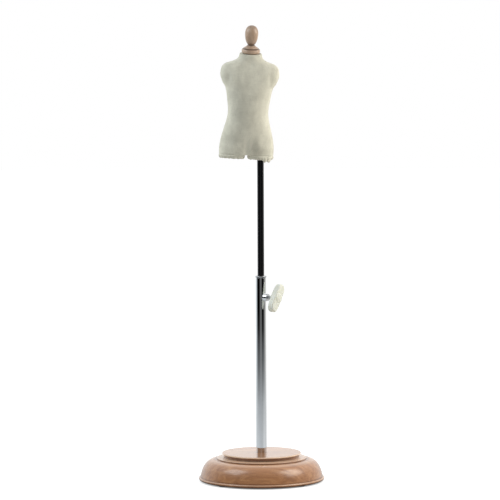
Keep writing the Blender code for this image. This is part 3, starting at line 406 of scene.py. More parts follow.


# %% [markdown]
# ## Wood
#
# The base, the neck cap and the finial are turned beech. Beech shows three things: broad, faint bands
# where the growth rings are cut, fine fibres along the grain, and many short dark flecks. A picture of
# wood would slide on a turned piece, so the pattern is a solid one, read at each point's own place and
# drawn out along the grain. The base is glued up from staves, so each strip of it has its own shade.
# Over the pattern lies painted light that depends on the height: painted shade darkens the creases and
# coves, and painted highlights make the round edges pale.


# %% Wood
def new_finish(name):
    """An empty material with one Principled shader joined to its output."""
    made = bpy.data.materials.new(name)
    made.use_nodes = True
    tree = made.node_tree
    return made, tree, tree.nodes["Principled BSDF"]


def bumped(tree, shader, height, distance, strength=1.0, socket="Normal"):
    """Small relief on a shader: height is 0 to 1, distance how much that is in metres."""
    bump = node(tree, "Bump", {"Strength": strength, "Distance": distance, "Height": height})
    tree.links.new(bump.outputs[0], shader.inputs[socket])


def drawn_out(tree, packed=(1.0, 1.0, 1.0), turn=(0.0, 0.0, 0.0), centre=(0.0, 0.0, 0.0)):
    """Object coordinates from a centre, turned, then packed closer along the axes with larger numbers."""
    spot = node(tree, "TexCoord").outputs["Object"]
    sizes = tuple(1.0 / p for p in packed)
    return node(tree, "Mapping", {0: spot, 1: centre, 2: turn, 3: sizes}, vector_type="TEXTURE").outputs[0]


def noise(tree, vector, scale, detail=4.0, rough=0.55, bend=0.0):
    """Smooth random values about 0.5: a wave of 1 / scale metres, and detail finer ones, each rough
    times as strong as the one before. bend moves the places where they are read."""
    settings = {"Vector": vector, "Scale": scale, "Detail": detail, "Roughness": rough, "Distortion": bend}
    return node(tree, "TexNoise", settings).outputs[0]


def beech(name, dark, middle, light, turn=(0, 0, 0), stave=0.0, coat=1.0, coat_rough=0.12, rough=0.42,
          painted_light_tones=(), seat=Matrix(), painted_highlight=(0.92, 0.70, 0.52)):
    """Lacquered beech with its grain along X before it is turned. stave is a glued strip's width, and
    painted_light_tones are (height, tone): below 0.5 painted shade darkens the wood there, above it a painted
    highlight of the colour painted_highlight makes it pale. The height runs along the Z of seat, the frame
    that the piece is turned in."""
    made, tree, shader = new_finish(name)
    along = drawn_out(tree, (1.0, 12.0, 12.0), turn)
    fine = drawn_out(tree, (1.0, 26.0, 26.0), turn)
    bands = noise(tree, along, 7.0, 5.0, 0.6, 0.9)
    figure = ramp(tree, bands, [(0.30, dark), (0.50, middle), (0.72, light)])
    fibre = remapped(tree, noise(tree, fine, 60.0, 6.0, 0.7), 0.25, 0.75, 0.80, 1.16)
    fleck_spots = noise(tree, drawn_out(tree, (1.0, 8.0, 8.0), turn), 260.0, 2.0, 0.5)
    fleck = remapped(tree, fleck_spots, 0.60, 0.70, 0.0, 0.55)
    colour = blend_of(tree, 1.0, figure, grey(tree, fibre), "MULTIPLY")
    colour = blend_of(tree, fleck, colour, tuple(0.45 * c for c in dark))
    if stave:
        across = node(tree, "SeparateXYZ", {0: drawn_out(tree, turn=turn)}).outputs[1]
        strip = reckon(tree, "FLOOR", reckon(tree, "DIVIDE", across, stave))
        own = node(tree, "TexWhiteNoise", {"W": strip}, noise_dimensions="1D").outputs["Value"]
        own = grey(tree, remapped(tree, own, 0.0, 1.0, 0.88, 1.10))
        colour = blend_of(tree, 1.0, colour, own, "MULTIPLY")
    # painted light by height: painted shade in creases and coves, painted highlights on edges
    if painted_light_tones:
        from_seat = drawn_out(tree, turn=tuple(seat.to_euler()), centre=tuple(seat.translation))
        height = node(tree, "SeparateXYZ", {0: from_seat}).outputs[2]
        top = painted_light_tones[-1][0]
        stops = [(z / top, (value,) * 3) for z, value in painted_light_tones]
        tone = ramp(tree, reckon(tree, "DIVIDE", height, top), stops)
        painted_shade = tuple(0.35 * c for c in dark)
        colour = blend_of(tree, remapped(tree, tone, 0.5, 1.0, 0.0, 1.0), colour, painted_highlight)
        colour = blend_of(tree, remapped(tree, tone, 0.5, 0.0, 0.0, 1.0), colour, painted_shade)
    tree.links.new(colour, shader.inputs["Base Color"])
    uneven = remapped(tree, noise(tree, along, 40.0), 0.3, 0.7, rough - 0.06, rough + 0.08)
    tree.links.new(uneven, shader.inputs["Roughness"])
    shader.inputs["Coat Weight"].default_value = coat
    shader.inputs["Coat Roughness"].default_value = coat_rough
    shader.inputs["Coat IOR"].default_value = 1.5
    bumped(tree, shader, fibre, 0.00004, 0.5)
    flow = noise(tree, drawn_out(tree), 35.0, 3.0)
    bumped(tree, shader, flow, 0.00008, 0.2, "Coat Normal")
    return made


BASE_SHADES = (0.340, 0.137, 0.049), (0.475, 0.207, 0.078), (0.605, 0.302, 0.128)
PALE_SHADES = (0.33, 0.215, 0.145), (0.46, 0.315, 0.215), (0.56, 0.41, 0.30)
UPRIGHT = (0, np.pi / 2, 0)
# painted shade under the bead, in the crease above it and at the step; painted highlights on the bead and
# plateau
BASE_PAINTED_LIGHT = [
    (0.0050, 0.10), (0.0075, 0.48), (0.0090, 0.66), (0.0104, 0.58), (0.0112, 0.15), (0.0130, 0.42),
    (0.0150, 0.50), (0.0470, 0.50), (0.0510, 0.58), (0.0526, 0.60), (0.0536, 0.26), (0.0554, 0.24),
    (0.0562, 0.70), (0.0580, 0.76), (0.0600, 0.72),
]
# painted shade in the cove under the lip, and a painted highlight on the lip
DISC_PAINTED_LIGHT = [
    (0.0590, 0.26), (0.0644, 0.22), (0.0653, 0.70), (0.0662, 1.00), (0.0681, 0.95), (0.0686, 0.54),
    (0.0690, 0.50),
]
base_beech = beech("lacquered_beech", *BASE_SHADES, stave=0.062, coat_rough=0.21, painted_light_tones=BASE_PAINTED_LIGHT)
disc_beech = beech("lacquered_disc_beech", *BASE_SHADES, turn=(0, 0, 0.35), stave=0.054, painted_light_tones=DISC_PAINTED_LIGHT)
print("nodes of the base's beech:", len(base_beech.node_tree.nodes))

# %% [markdown]
# ## The base
#
# The base is a turned moulding: a round bead on the floor, a swelling dome, a small step, and a gently
# falling plateau with a thinner disc on it, whose lip hangs over a cove. A lathe makes it, and a lathe is
# what is used here: one outline carried once round the axis. The outline also goes underneath, into the
# recess for the ballast and up the socket for the column, so that the piece is closed.

# %% The base moulding
BASE_RADIUS, PLATEAU_RADIUS, PLATEAU_HEIGHT, FALL, STEP = 0.150, 0.107, 0.0585, 0.0018, 0.0030
BEAD, FOOT_TOP, GAP, DOME_INSET, PLATEAU_ROUND = 0.0075, 0.0033, 0.0003, 0.0033, 0.0009
TUBE_RADIUS, TUBE_SEAT, BOLT_HOLE, RECESS_RADIUS, RECESS_TOP = 0.0127, 0.033, 0.0053, 0.116, 0.0233
DISC_RADIUS, DISC_FOOT, DISC_TOP, LIP, COVE = 0.0945, 0.0588, 0.0687, 0.0036, 0.0040

dome_foot = np.array((BASE_RADIUS - DOME_INSET, FOOT_TOP + BEAD))
plateau_edge = PLATEAU_HEIGHT - FALL
dome_head = np.array((PLATEAU_RADIUS, plateau_edge - STEP))
out, rise = dome_foot[0] - dome_head[0], dome_head[1] - dome_foot[1]
dome = bezier(
    dome_head,
    dome_head + (0.80 * out, -0.02 * rise),
    dome_foot + (-0.10 * out, 0.35 * rise),
    dome_foot,
    40,
)
moulding_outline = np.vstack([
    [(TUBE_RADIUS + GAP, PLATEAU_HEIGHT)],
    np.stack([np.linspace(0.02, DISC_RADIUS - COVE, 10), np.full(10, PLATEAU_HEIGHT)], 1),
    arc((PLATEAU_RADIUS - PLATEAU_ROUND, plateau_edge - PLATEAU_ROUND), PLATEAU_ROUND, 84, 0, 6),
    dome,
    [(dome_foot[0] - 0.0002, dome_foot[1] - 0.0004)],  # the crease above the bead
    arc((BASE_RADIUS - BEAD / 2, FOOT_TOP + BEAD / 2), BEAD / 2, 62, -80, 18),
    [(RECESS_RADIUS, FOOT_TOP), (RECESS_RADIUS, RECESS_TOP), (BOLT_HOLE, RECESS_TOP), (BOLT_HOLE, TUBE_SEAT)],
    [(TUBE_RADIUS + GAP, TUBE_SEAT), (TUBE_RADIUS + GAP, PLATEAU_HEIGHT)],
])
moulding = piece("moulded_base", [lathe(moulding_outline, 180)], base_beech, "stand", ["base_moulding"])

# %% [markdown]
# The disc is a second turned piece with its own grain, set on the plateau. What the eye finds is its lip,
# a nearly round edge, and the dark cove below. One arc makes the lip, and a curve that starts level and
# ends upright makes the cove. Rows across the flat top keep its shading even.

# %% The disc on the base
lip_foot = DISC_TOP - LIP
depth = (lip_foot - DISC_FOOT) * 0.6
cove = bezier(
    (DISC_RADIUS - 0.30 * COVE, lip_foot + 0.0003),
    (DISC_RADIUS - 0.80 * COVE, lip_foot - 0.1 * depth),
    (DISC_RADIUS - COVE, lip_foot - 0.6 * depth),
    (DISC_RADIUS - COVE, lip_foot - depth),
    10,
)
disc_outline = np.vstack([
    [(TUBE_RADIUS + GAP, DISC_TOP)],
    np.stack([np.linspace(0.02, DISC_RADIUS - LIP / 2, 12), np.full(12, DISC_TOP)], 1),
    arc((DISC_RADIUS - LIP / 2, DISC_TOP - LIP / 2), LIP / 2, 80, -60, 14),
    cove,
    [(DISC_RADIUS - COVE, DISC_FOOT), (TUBE_RADIUS + GAP, DISC_FOOT), (TUBE_RADIUS + GAP, DISC_TOP)],
])
disc = piece("turned_disc", [lathe(disc_outline, 160)], disc_beech, "stand", ["base_top_disc"])

# %% [markdown]
# ## Chrome and enamel
#
# Polished plating is a mirror with faults: a slight haze, hair-fine scratches round the tube from
# wiping, and a surface that waves a little. The colour stays nearly even, and roughness and relief carry
# the finish. The black rod is enamel: dark paint with a clear gloss, and a little dust in it.


# %% Metal finishes
def plated(name, colour, low, high, scratch=(1.0, 1.0, 40.0), relief=0.0000012):
    """Plated metal. Its roughness wanders from low to high, as the product of haze and of scratches that
    are drawn out round the piece."""
    made, tree, shader = new_finish(name)
    haze = noise(tree, drawn_out(tree), 45.0, 5.0)
    tint = ramp(tree, haze, [(0.3, tuple(0.93 * c for c in colour)), (0.7, colour)])
    tree.links.new(tint, shader.inputs["Base Color"])
    lines = noise(tree, drawn_out(tree, scratch), 120.0, 3.0, 0.6)
    both = reckon(tree, "MULTIPLY", haze, lines)
    tree.links.new(remapped(tree, both, 0.12, 0.42, low, high), shader.inputs["Roughness"])
    shader.inputs["Metallic"].default_value = 1.0
    bumped(tree, shader, lines, relief, 0.5)
    return made


def mottled(tree, shader, value, stops, smooth, rough):
    """The colour at a value's place between stops, and roughness from smooth, where the value is 0.3, to
    rough, where it is 0.7."""
    tree.links.new(ramp(tree, value, stops), shader.inputs["Base Color"])
    tree.links.new(remapped(tree, value, 0.3, 0.7, smooth, rough), shader.inputs["Roughness"])


chrome = plated("polished_chrome", (0.78, 0.79, 0.81), 0.02, 0.05)
satin_chrome = plated("satin_chrome", (0.64, 0.65, 0.67), 0.16, 0.26)
boss_chrome = plated("boss_chrome", (0.76, 0.77, 0.79), 0.07, 0.15, (1.0, 1.0, 1.0))
zinc = plated("zinc_plate", (0.52, 0.53, 0.56), 0.28, 0.45, (1.0, 1.0, 1.0), relief=0.00002)
brass = plated("turned_brass", (0.70, 0.52, 0.24), 0.22, 0.36, (1.0, 1.0, 6.0), relief=0.000006)

enamel, tree, shader = new_finish("black_enamel")
dust = noise(tree, drawn_out(tree), 700.0, 3.0)
haze = noise(tree, drawn_out(tree, (1.0, 1.0, 0.3)), 30.0, 4.0)
paint = ramp(tree, dust, [(0.55, (0.004, 0.004, 0.005)), (0.80, (0.014, 0.014, 0.016))])
tree.links.new(paint, shader.inputs["Base Color"])
tree.links.new(remapped(tree, haze, 0.3, 0.7, 0.16, 0.26), shader.inputs["Roughness"])
shader.inputs["Specular IOR Level"].default_value = 0.3
shader.inputs["Coat Weight"].default_value = 0.5
shader.inputs["Coat Roughness"].default_value = 0.06
bumped(tree, shader, dust, 0.00001, 0.4)
print("finishes so far:", [finish.name for finish in bpy.data.materials])

# %% [markdown]
# ## The column
#
# The column is a plated tube with a fitted bush in its mouth, and a black rod that slides in it. All
# three are turned outlines again, with small rounds on their edges, because a real edge always catches
# a line of light. The hole for the clamp's screw is cut through one wall with a Boolean: on a grid it
# would need a special patch, and a cut says plainly what it is. The cut joins its rim to the corners of
# the faces round it, and on long faces those creases would bend the reflections all along the tube, so
# the outline has extra rows close above and below the hole.

# %% The tube
TUBE_BOTTOM, TUBE_TOP, TUBE_BORE = 0.0333, 0.4890, 0.0112
CLAMP_HEIGHT, CLAMP_TURN, SCREW_HOLE = 0.442, np.radians(-35.0), 0.0043
FINE_EDGE, DRILL_LENGTH = 0.0003, 0.02
clamp_frame = Matrix.Translation((0, 0, CLAMP_HEIGHT)) @ Matrix.Rotation(CLAMP_TURN, 4, "Z")
laid_down = Matrix.Rotation(np.pi / 2, 4, "Y")  # lays a turned piece's axis along X, the screw's axis


def walled(outer, inner, low, high, edge, rows=()):
    """The closed outline of a tube: outer wall down, inner wall up, with rounded ends and extra rows."""
    up = np.sort(np.array(rows, float))
    return np.vstack([
        arc((outer - edge, high - edge), edge, 90, 0, 5),
        np.stack([outer + 0 * up, up[::-1]], 1),
        arc((outer - edge, low + edge), edge, 0, -90, 5),
        arc((inner + edge, low + edge), edge, -90, -180, 5),
        np.stack([inner + 0 * up, up], 1),
        arc((inner + edge, high - edge), edge, 180, 90, 5),
        [(outer - edge, high)],
    ])


near_hole = [CLAMP_HEIGHT + away for away in (-0.0062, -0.0050, 0.0050, 0.0062)]
tube_outline = walled(TUBE_RADIUS, TUBE_BORE, TUBE_BOTTOM, TUBE_TOP, FINE_EDGE, near_hole)
tube = piece("chromed_tube", [lathe(tube_outline, 96)], chrome, "stand", ["outer_tube"])
drill_outline = [(0, 0), (SCREW_HOLE, 0), (SCREW_HOLE, DRILL_LENGTH), (0, DRILL_LENGTH)]
drill_grid = lathe(drill_outline, 48, clamp_frame @ laid_down)
drill = bpy.data.objects.new("drill", grid_mesh("drill", [drill_grid], [flat_lengths(drill_grid)]))
scene.collection.objects.link(drill)
cut = tube.modifiers.new("screw_hole", "BOOLEAN")
cut.object, cut.operation, cut.solver = drill, "DIFFERENCE", "EXACT"
bpy.context.view_layer.update()
bored = bpy.data.meshes.new_from_object(tube.evaluated_get(bpy.context.evaluated_depsgraph_get()))
tube.modifiers.clear()
tube.data = bored
tube.data.name = "chromed_tube"
tube.data.set_sharp_from_angle(angle=np.radians(40.0))
bpy.data.objects.remove(drill)
print("bored tube:", len(bored.polygons), "faces")

# %% [markdown]
# The bush is pressed into the tube's mouth and guides the rod. Only its lip shows, as a light ring with a
# rounded upper edge. It is one turned outline too: bore, lip, the seat on the tube's end, and the spigot.

# %% The bush in the tube's mouth
BUSH_BORE, BUSH_LIP, LIP_HEIGHT, SPIGOT, BORE_ROUND, LIP_ROUND = 0.0083, 0.0135, 0.0038, 0.024, 0.0005, 0.0009
seat = TUBE_TOP + GAP
lip_top = seat + LIP_HEIGHT
bush_outline = np.vstack([
    arc((BUSH_BORE + BORE_ROUND, lip_top - BORE_ROUND), BORE_ROUND, 180, 90, 5),
    arc((BUSH_LIP - LIP_ROUND, lip_top - LIP_ROUND), LIP_ROUND, 90, 0, 6),
    arc((BUSH_LIP - FINE_EDGE, seat + FINE_EDGE), FINE_EDGE, 0, -90, 4),
    [(TUBE_BORE - GAP, seat), (TUBE_BORE - GAP, TUBE_TOP - SPIGOT), (BUSH_BORE, TUBE_TOP - SPIGOT)],
    [(BUSH_BORE, lip_top - BORE_ROUND)],
])
bush = piece("tube_bush", [lathe(bush_outline, 96)], satin_chrome, "stand", ["tube_top_bush"])

# %% [markdown]
# The rod is a thinner tube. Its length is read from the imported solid, so that the two always agree.

# %% The sliding rod
ROD_RADIUS, ROD_BORE = 0.0080, 0.0068
ROD_LOW, ROD_HIGH = (corner.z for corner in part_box("inner_rod"))
rod_outline = walled(ROD_RADIUS, ROD_BORE, ROD_LOW, ROD_HIGH, FINE_EDGE)
rod = piece("black_rod", [lathe(rod_outline, 80)], enamel, "rod", ["inner_rod"])

# %% [markdown]
# ## The clamp
#
# A short boss is brazed to the tube, and a screw with a plastic knob goes through it and presses a brass
# pad on the rod. A cylinder joined to the tube with a Boolean would do, but its edge would be bare. Here
# the boss's inner end follows the tube: at radius r and angle a round the screw, a point on the tube lies
# sqrt(R^2 - (r cos a)^2) from the column's axis. A small fillet of brazing runs round it.


# %% The boss
def along_screw(reach, radius, angle):
    """Points at a reach along the screw, and at a radius and an angle round it."""
    grid = np.stack([reach, -radius * np.cos(angle), radius * np.sin(angle)], -1)
    return placed(grid, clamp_frame)


def on_tube(radius, angle, clear=0.0):
    """How far along the screw the tube's surface is, for points at a radius and an angle round it."""
    return np.sqrt((TUBE_RADIUS + clear) ** 2 - (radius * np.cos(angle)) ** 2)


BOSS_RADIUS, BOSS_REACH, BOSS_EDGE, FILLET, MOUTH = 0.0090, 0.0210, 0.0012, 0.0008, 0.0004
angle = ring(96)
rows = [(SCREW_HOLE, None, 0.0), (BOSS_RADIUS + FILLET, None, 0.0)]  # radius, reach or on the tube, lift
for turn in np.linspace(0, 90, 6)[1:]:
    t = np.radians(turn)
    rows.append((BOSS_RADIUS + FILLET * (1 - np.sin(t)), None, FILLET * (1 - np.cos(t))))
for turn in np.linspace(0, 90, 5):
    t = np.radians(turn)
    rows.append((BOSS_RADIUS - BOSS_EDGE * (1 - np.cos(t)), BOSS_REACH - BOSS_EDGE * (1 - np.sin(t)), 0.0))
rows += [(SCREW_HOLE + MOUTH, BOSS_REACH, 0.0), (SCREW_HOLE, BOSS_REACH - MOUTH, 0.0)]
rows += [(SCREW_HOLE, None, 0.0)]
radius = np.array([r for r, _, _ in rows])[:, None] * np.ones_like(angle)
angles = np.ones((len(rows), 1)) * angle
reach = np.stack([
    on_tube(r, angle, 0.0002) + lift if x is None else np.full_like(angle, x) for r, x, lift in rows
])
boss_grid = along_screw(reach, radius, angles)
boss = piece("brazed_boss", [boss_grid], boss_chrome, "stand", ["clamp_boss"], sharp=50)

# %% [markdown]
# The screw's thread is a real helix with the pitch that the joint uses. Texture could draw it, but the
# outline of a screw is toothed. Along the screw and round it, a point's place in the thread is the
# distance over the pitch minus the share of a turn, without its whole part, and the groove is deepest in
# the middle between two crests. The ends taper, as a screw's do.

# %% The threaded screw
SCREW_RADIUS, PITCH, THREAD_DEPTH, ROWS_A_TURN, ROUND = 0.0040, 0.00125, 0.00065, 8, 40
start, end = 0.01130, 0.0470
along = np.linspace(start, end, int((end - start) / PITCH * ROWS_A_TURN))
reach, angles = np.meshgrid(along, ring(ROUND), indexing="ij")
phase = (reach / PITCH - angles / (2 * np.pi)) % 1.0
groove = np.clip(np.abs(phase - 0.5) * 2.4 - 0.15, 0.0, 1.0)
taper = np.clip(np.minimum(reach - start, end - reach) / 0.0008, 0.35, 1.0)
radius = (SCREW_RADIUS - THREAD_DEPTH * groove) * taper ** 0.4
whole_turn, no_radius = np.ones((1, ROUND + 1)), 1e-7
tip, head = (along_screw(x * whole_turn, no_radius * whole_turn, angles[:1]) for x in (start, end))
screw_grid = np.vstack([tip, along_screw(reach, radius, angles), head])
screw = piece("threaded_screw", [screw_grid], zinc, "clamp_knob", ["clamp_screw"], sharp=55)

# %% [markdown]
# The knob's plastic is a little cloudy: light goes into it and comes out nearby, which softens its edges,
# and its skin has the fine pebbles of a moulding. So the shader gets a little subsurface light and a
# small relief, and the cloud changes both its colour and its gloss.

# %% The knob's plastic
ivory, tree, shader = new_finish("ivory_plastic")
cloud = noise(tree, drawn_out(tree), 90.0, 4.0)
mottled(tree, shader, cloud, [(0.3, (0.70, 0.71, 0.62)), (0.7, (0.78, 0.79, 0.70))], 0.30, 0.42)
shader.inputs["Subsurface Weight"].default_value = 0.12
shader.inputs["Subsurface Radius"].default_value = (0.004, 0.0035, 0.0025)
bumped(tree, shader, noise(tree, drawn_out(tree), 1500.0, 2.0), 0.00003, 0.4)
print("nodes of the plastic:", len(tree.nodes))

# %% [markdown]
# The knob is moulded: a thick oval grip with round edges and slightly domed faces, and a hub that comes
# out of it at the back and the front. A scaled cylinder with bevels could be joined to the hub, but a
# moulding has no crease between the two. So the grip is a superellipse carried over its round edge, the
# hub is turned, and a fine voxel remesh with some smoothing melts the two closed forms into one skin.

# %% The knob
KNOB_START, HUB_LENGTH, HUB_RADIUS = 0.032, 0.024, 0.0125
SPAN, WIDTH, GRIP_DEPTH, FULLNESS, GRIP_EDGE, DOME = 0.072, 0.0275, 0.017, 3.0, 0.0036, 0.0006
knob_roll = Matrix.Rotation(np.radians(-35.0), 4, "X")


def oval(angle, half_a, half_b):
    """A superellipse: each side is |cos| or |sin| of the angle to the power 2 / FULLNESS."""
    c, s = np.cos(angle), np.sin(angle)
    power = 2 / FULLNESS
    return half_a * np.sign(c) * np.abs(c) ** power, half_b * np.sign(s) * np.abs(s) ** power


domed = np.linspace(0.0, 1.0, 12)[:-1]
half_grip = np.vstack([  # how much of the oval, how far in from it, how far from the grip's middle
    np.stack([domed, 0 * domed + GRIP_EDGE, GRIP_DEPTH / 2 - DOME * domed**2], 1),
    [(1.0, GRIP_EDGE * (1 - np.sin(t)), GRIP_DEPTH / 2 - DOME - GRIP_EDGE * (1 - np.cos(t)))
     for t in np.radians(np.linspace(0, 90, 9))],
])
grip_rows = np.vstack([half_grip, half_grip[::-1] * (1, 1, -1)])
share, inset, deep = (grip_rows[:, k][:, None] for k in range(3))
along, across = oval(ring(144)[None, :], share * (SPAN / 2 - inset), share * (WIDTH / 2 - inset))
grip = np.stack([KNOB_START + HUB_LENGTH / 2 + deep + 0 * along, across, along], -1)
hub_front = KNOB_START + HUB_LENGTH
hub_outline = np.vstack([
    [(0, hub_front - 0.0012)],
    bezier((HUB_RADIUS * 0.5, hub_front - 0.0016), (HUB_RADIUS * 0.8, hub_front - 0.0022),
           (HUB_RADIUS, hub_front - 0.003), (HUB_RADIUS, hub_front - 0.006), 10),
    bezier((HUB_RADIUS, hub_front - 0.012), (HUB_RADIUS, KNOB_START + 0.006), (0.0095, KNOB_START + 0.004),
           (0.0085, KNOB_START), 10),
    [(0, KNOB_START)],
])
hub = lathe(hub_outline, 64, laid_down)
knob_grids = [placed(grid, clamp_frame @ knob_roll) for grid in (grip, hub)]
knob = piece("oval_knob", knob_grids, ivory, "clamp_knob", ["wing_knob"], sharp=180)
melt = knob.modifiers.new("melt", "REMESH")
melt.mode, melt.voxel_size, melt.use_smooth_shade = "VOXEL", 0.0005, True
ease = knob.modifiers.new("ease", "SMOOTH")
ease.factor, ease.iterations = 0.5, 8

# %% [markdown]
# ## The torso's measures
#
# A dress form is drafted from body measures: at a few heights, the half width, how far the body comes
# forward and back, and how square its section is. A smooth curve that never overshoots runs through
# them. At a height, the outline is a superellipse: x = half width * sin^(2/q), y = depth * cos^(2/q).
# On top of that lies soft relief: low hills and hollows, each exp(-(distance / spread)^2), for the
# chest, belly, seat, the hollow of the throat and the creases of the arms.

# %% The torso's measures
LEG_END, LEG_OFFSET, LEAN = 0.7742, 0.0345, np.radians(2.85)
CROTCH, CROTCH_GAP, EDGE, HEM = 0.0100, 0.0048, 0.0045, 0.0075
NECK_TOP, NECK_TILT, NECK_HALF, NECK_FRONT, NECK_BACK = 0.2479, np.radians(8.0), 0.0266, 0.0215, 0.0265
NECK_EDGE, NECK_HEM, NECK_SLANT = 0.0015, 0.66, 0.012
SHOULDER, ARMPIT, WAIST, HIP = 0.1998, 0.1663, 0.1103, 0.0218
SHOULDER_HALF, ARMPIT_HALF, WAIST_HALF, HIP_HALF = 0.0700, 0.0560, 0.0478, 0.0648
torso_frame = Matrix.Translation((-LEG_OFFSET, 0, LEG_END)) @ Matrix.Rotation(LEAN, 4, "Y")


def part_way(low, high, share):
    """The value that lies a share of the way from low to high: low + (high - low) * share."""
    return low + (high - low) * share


def half_at(share):
    """A half width on the shoulders' slope, from the neck's (0) to the shoulders' (1)."""
    return part_way(NECK_HALF, SHOULDER_HALF, share)


BODY = np.array([  # height, half width, front, back, squareness
    (0.0, HIP_HALF - 0.0005, 0.0375, 0.0410, 2.35),
    (HIP, HIP_HALF, 0.0415, 0.0465, 2.35),
    (part_way(HIP, WAIST, 0.25), HIP_HALF - 0.0025, 0.0440, 0.0490, 2.3),
    (part_way(HIP, WAIST, 0.57), part_way(WAIST_HALF, HIP_HALF, 0.44), 0.0460, 0.0460, 2.25),
    (part_way(HIP, WAIST, 0.79), part_way(WAIST_HALF, HIP_HALF, 0.14), 0.0470, 0.0410, 2.2),
    (WAIST, WAIST_HALF, 0.0470, 0.0360, 2.2),
    (part_way(WAIST, ARMPIT, 0.5), part_way(WAIST_HALF, ARMPIT_HALF, 0.36), 0.0445, 0.0340, 2.2),
    (ARMPIT, ARMPIT_HALF, 0.0410, 0.0370, 2.3),
    (part_way(ARMPIT, SHOULDER, 0.47), part_way(ARMPIT_HALF, SHOULDER_HALF, 0.65), 0.0385, 0.0380, 2.35),
    (SHOULDER, SHOULDER_HALF, 0.0340, 0.0365, 2.35),
    (part_way(SHOULDER, NECK_TOP, 0.31), half_at(0.95), 0.0290, 0.0330, 2.25),
    (part_way(SHOULDER, NECK_TOP, 0.51), half_at(0.74), 0.0250, 0.0300, 2.1),
    (part_way(SHOULDER, NECK_TOP, 0.61), half_at(0.44), 0.0232, 0.0285, 2.05),
    (part_way(SHOULDER, NECK_TOP, 0.68), half_at(0.24), 0.0222, 0.0278, 2.0),
    (part_way(SHOULDER, NECK_TOP, 0.77), half_at(0.10), 0.0217, 0.0272, 2.0),
    (part_way(SHOULDER, NECK_TOP, 0.865), half_at(0.03), NECK_FRONT, NECK_BACK, 2.0),
    (NECK_TOP, NECK_HALF, NECK_FRONT, NECK_BACK, 2.0),
])
FRONT, BACK = -1, 1
RELIEF = [  # side, distance from the middle, height, spread sideways and upwards, rise
    (FRONT, 0.0, part_way(SHOULDER, NECK_TOP, 0.55), 0.009, 0.010, -0.0020),
    (FRONT, ARMPIT_HALF - 0.005, part_way(ARMPIT, SHOULDER, 0.75), 0.006, 0.017, -0.0022),
    (BACK, ARMPIT_HALF - 0.005, part_way(ARMPIT, SHOULDER, 0.60), 0.006, 0.017, -0.0018),
    (FRONT, 0.022, part_way(WAIST, ARMPIT, 0.95), 0.018, 0.018, 0.0012),
    (FRONT, 0.0, part_way(HIP, WAIST, 0.60), 0.028, 0.028, 0.0014),
    (FRONT, 0.040, part_way(HIP, WAIST, 0.24), 0.009, 0.012, -0.0013),
    (FRONT, LEG_OFFSET - 0.004, HIP + 0.004, 0.015, 0.016, 0.0012),
    (FRONT, 0.0, HIP, 0.006, 0.016, -0.0020),
    (BACK, 0.0, part_way(WAIST, SHOULDER, 0.35), 0.008, 0.050, -0.0014),
    (BACK, LEG_OFFSET, part_way(ARMPIT, SHOULDER, 0.30), 0.016, 0.018, 0.0014),
    (BACK, LEG_OFFSET - 0.006, part_way(HIP, WAIST, 0.12), 0.018, 0.018, 0.0026),
    (BACK, 0.0, HIP + 0.004, 0.005, 0.020, -0.0028),
]


def measures(z):
    """The four measures at heights z: a cubic between stations, level where a measure turns round."""
    x, y = BODY[:, 0], BODY[:, 1:]
    slope = np.diff(y, axis=0) / np.diff(x)[:, None]
    bend = np.zeros_like(y)
    same = slope[:-1] * slope[1:] > 0
    mean = 2 * slope[:-1] * slope[1:] / np.where(same, slope[:-1] + slope[1:], 1.0)
    bend[1:-1] = np.where(same, mean, 0.0)
    bend[0], bend[-1] = slope[0], slope[-1]
    i = np.clip(np.searchsorted(x, z) - 1, 0, len(x) - 2)
    h = (x[i + 1] - x[i])[..., None]
    t = np.clip((z - x[i])[..., None] / h, 0.0, 1.0)
    low = (1 + 2 * t) * (1 - t) ** 2 * y[i] + t * (1 - t) ** 2 * h * bend[i]
    high = t * t * (3 - 2 * t) * y[i + 1] + t * t * (t - 1) * h * bend[i + 1]
    return np.moveaxis(low + high, -1, 0)


def outline(angle, z):
    """Points round the body at heights z, from the front (angle 0) round the left side (+) to the back:
    a superellipse of the measures, swelled by amount * exp(-(distance / spread)^2) for each hill."""
    half, front, back, square = measures(z)
    s, c = np.sin(angle), np.cos(angle)
    x = half * np.sign(s) * np.abs(s) ** (2 / square)
    y = -np.where(c > 0, front, back) * np.sign(c) * np.abs(c) ** (2 / square)
    rise = np.zeros_like(x)
    for side, middle, height, wide, tall, amount in RELIEF:
        share = np.clip(side * y / 0.015, 0.0, 1.0)
        rise += amount * share * np.exp(-(((np.abs(x) - middle) / wide) ** 2) - ((z - height) / tall) ** 2)
    swell = 1 + rise / np.hypot(x, y)
    return x * swell, y * swell


print("hip", measures(np.array(HIP)).round(4), "neck", measures(np.array(NECK_TOP)).round(4))

# %% [markdown]
# ## The linen cover
#
# The body is covered with unbleached linen, sewn to fit and turned in at the neck and under each leg.
# The cover could be simulated, but it is stretched over a rigid form and hardly moves, so it is the
# body's own surface on a fine grid, with what sewing adds: a seam down the middle of the back and down
# each side, drag lines at the groin, and small puckers where the cloth is gathered at the neck.

# %% The cover's surface
HALF_STEPS, INNER_STEPS = 110, 44
SIDE_CURVE, BACK_CURVE, SEAM_WIDTH = 0.05, 0.04, 0.0009  # metres of cloth a radian, and a seam's half width


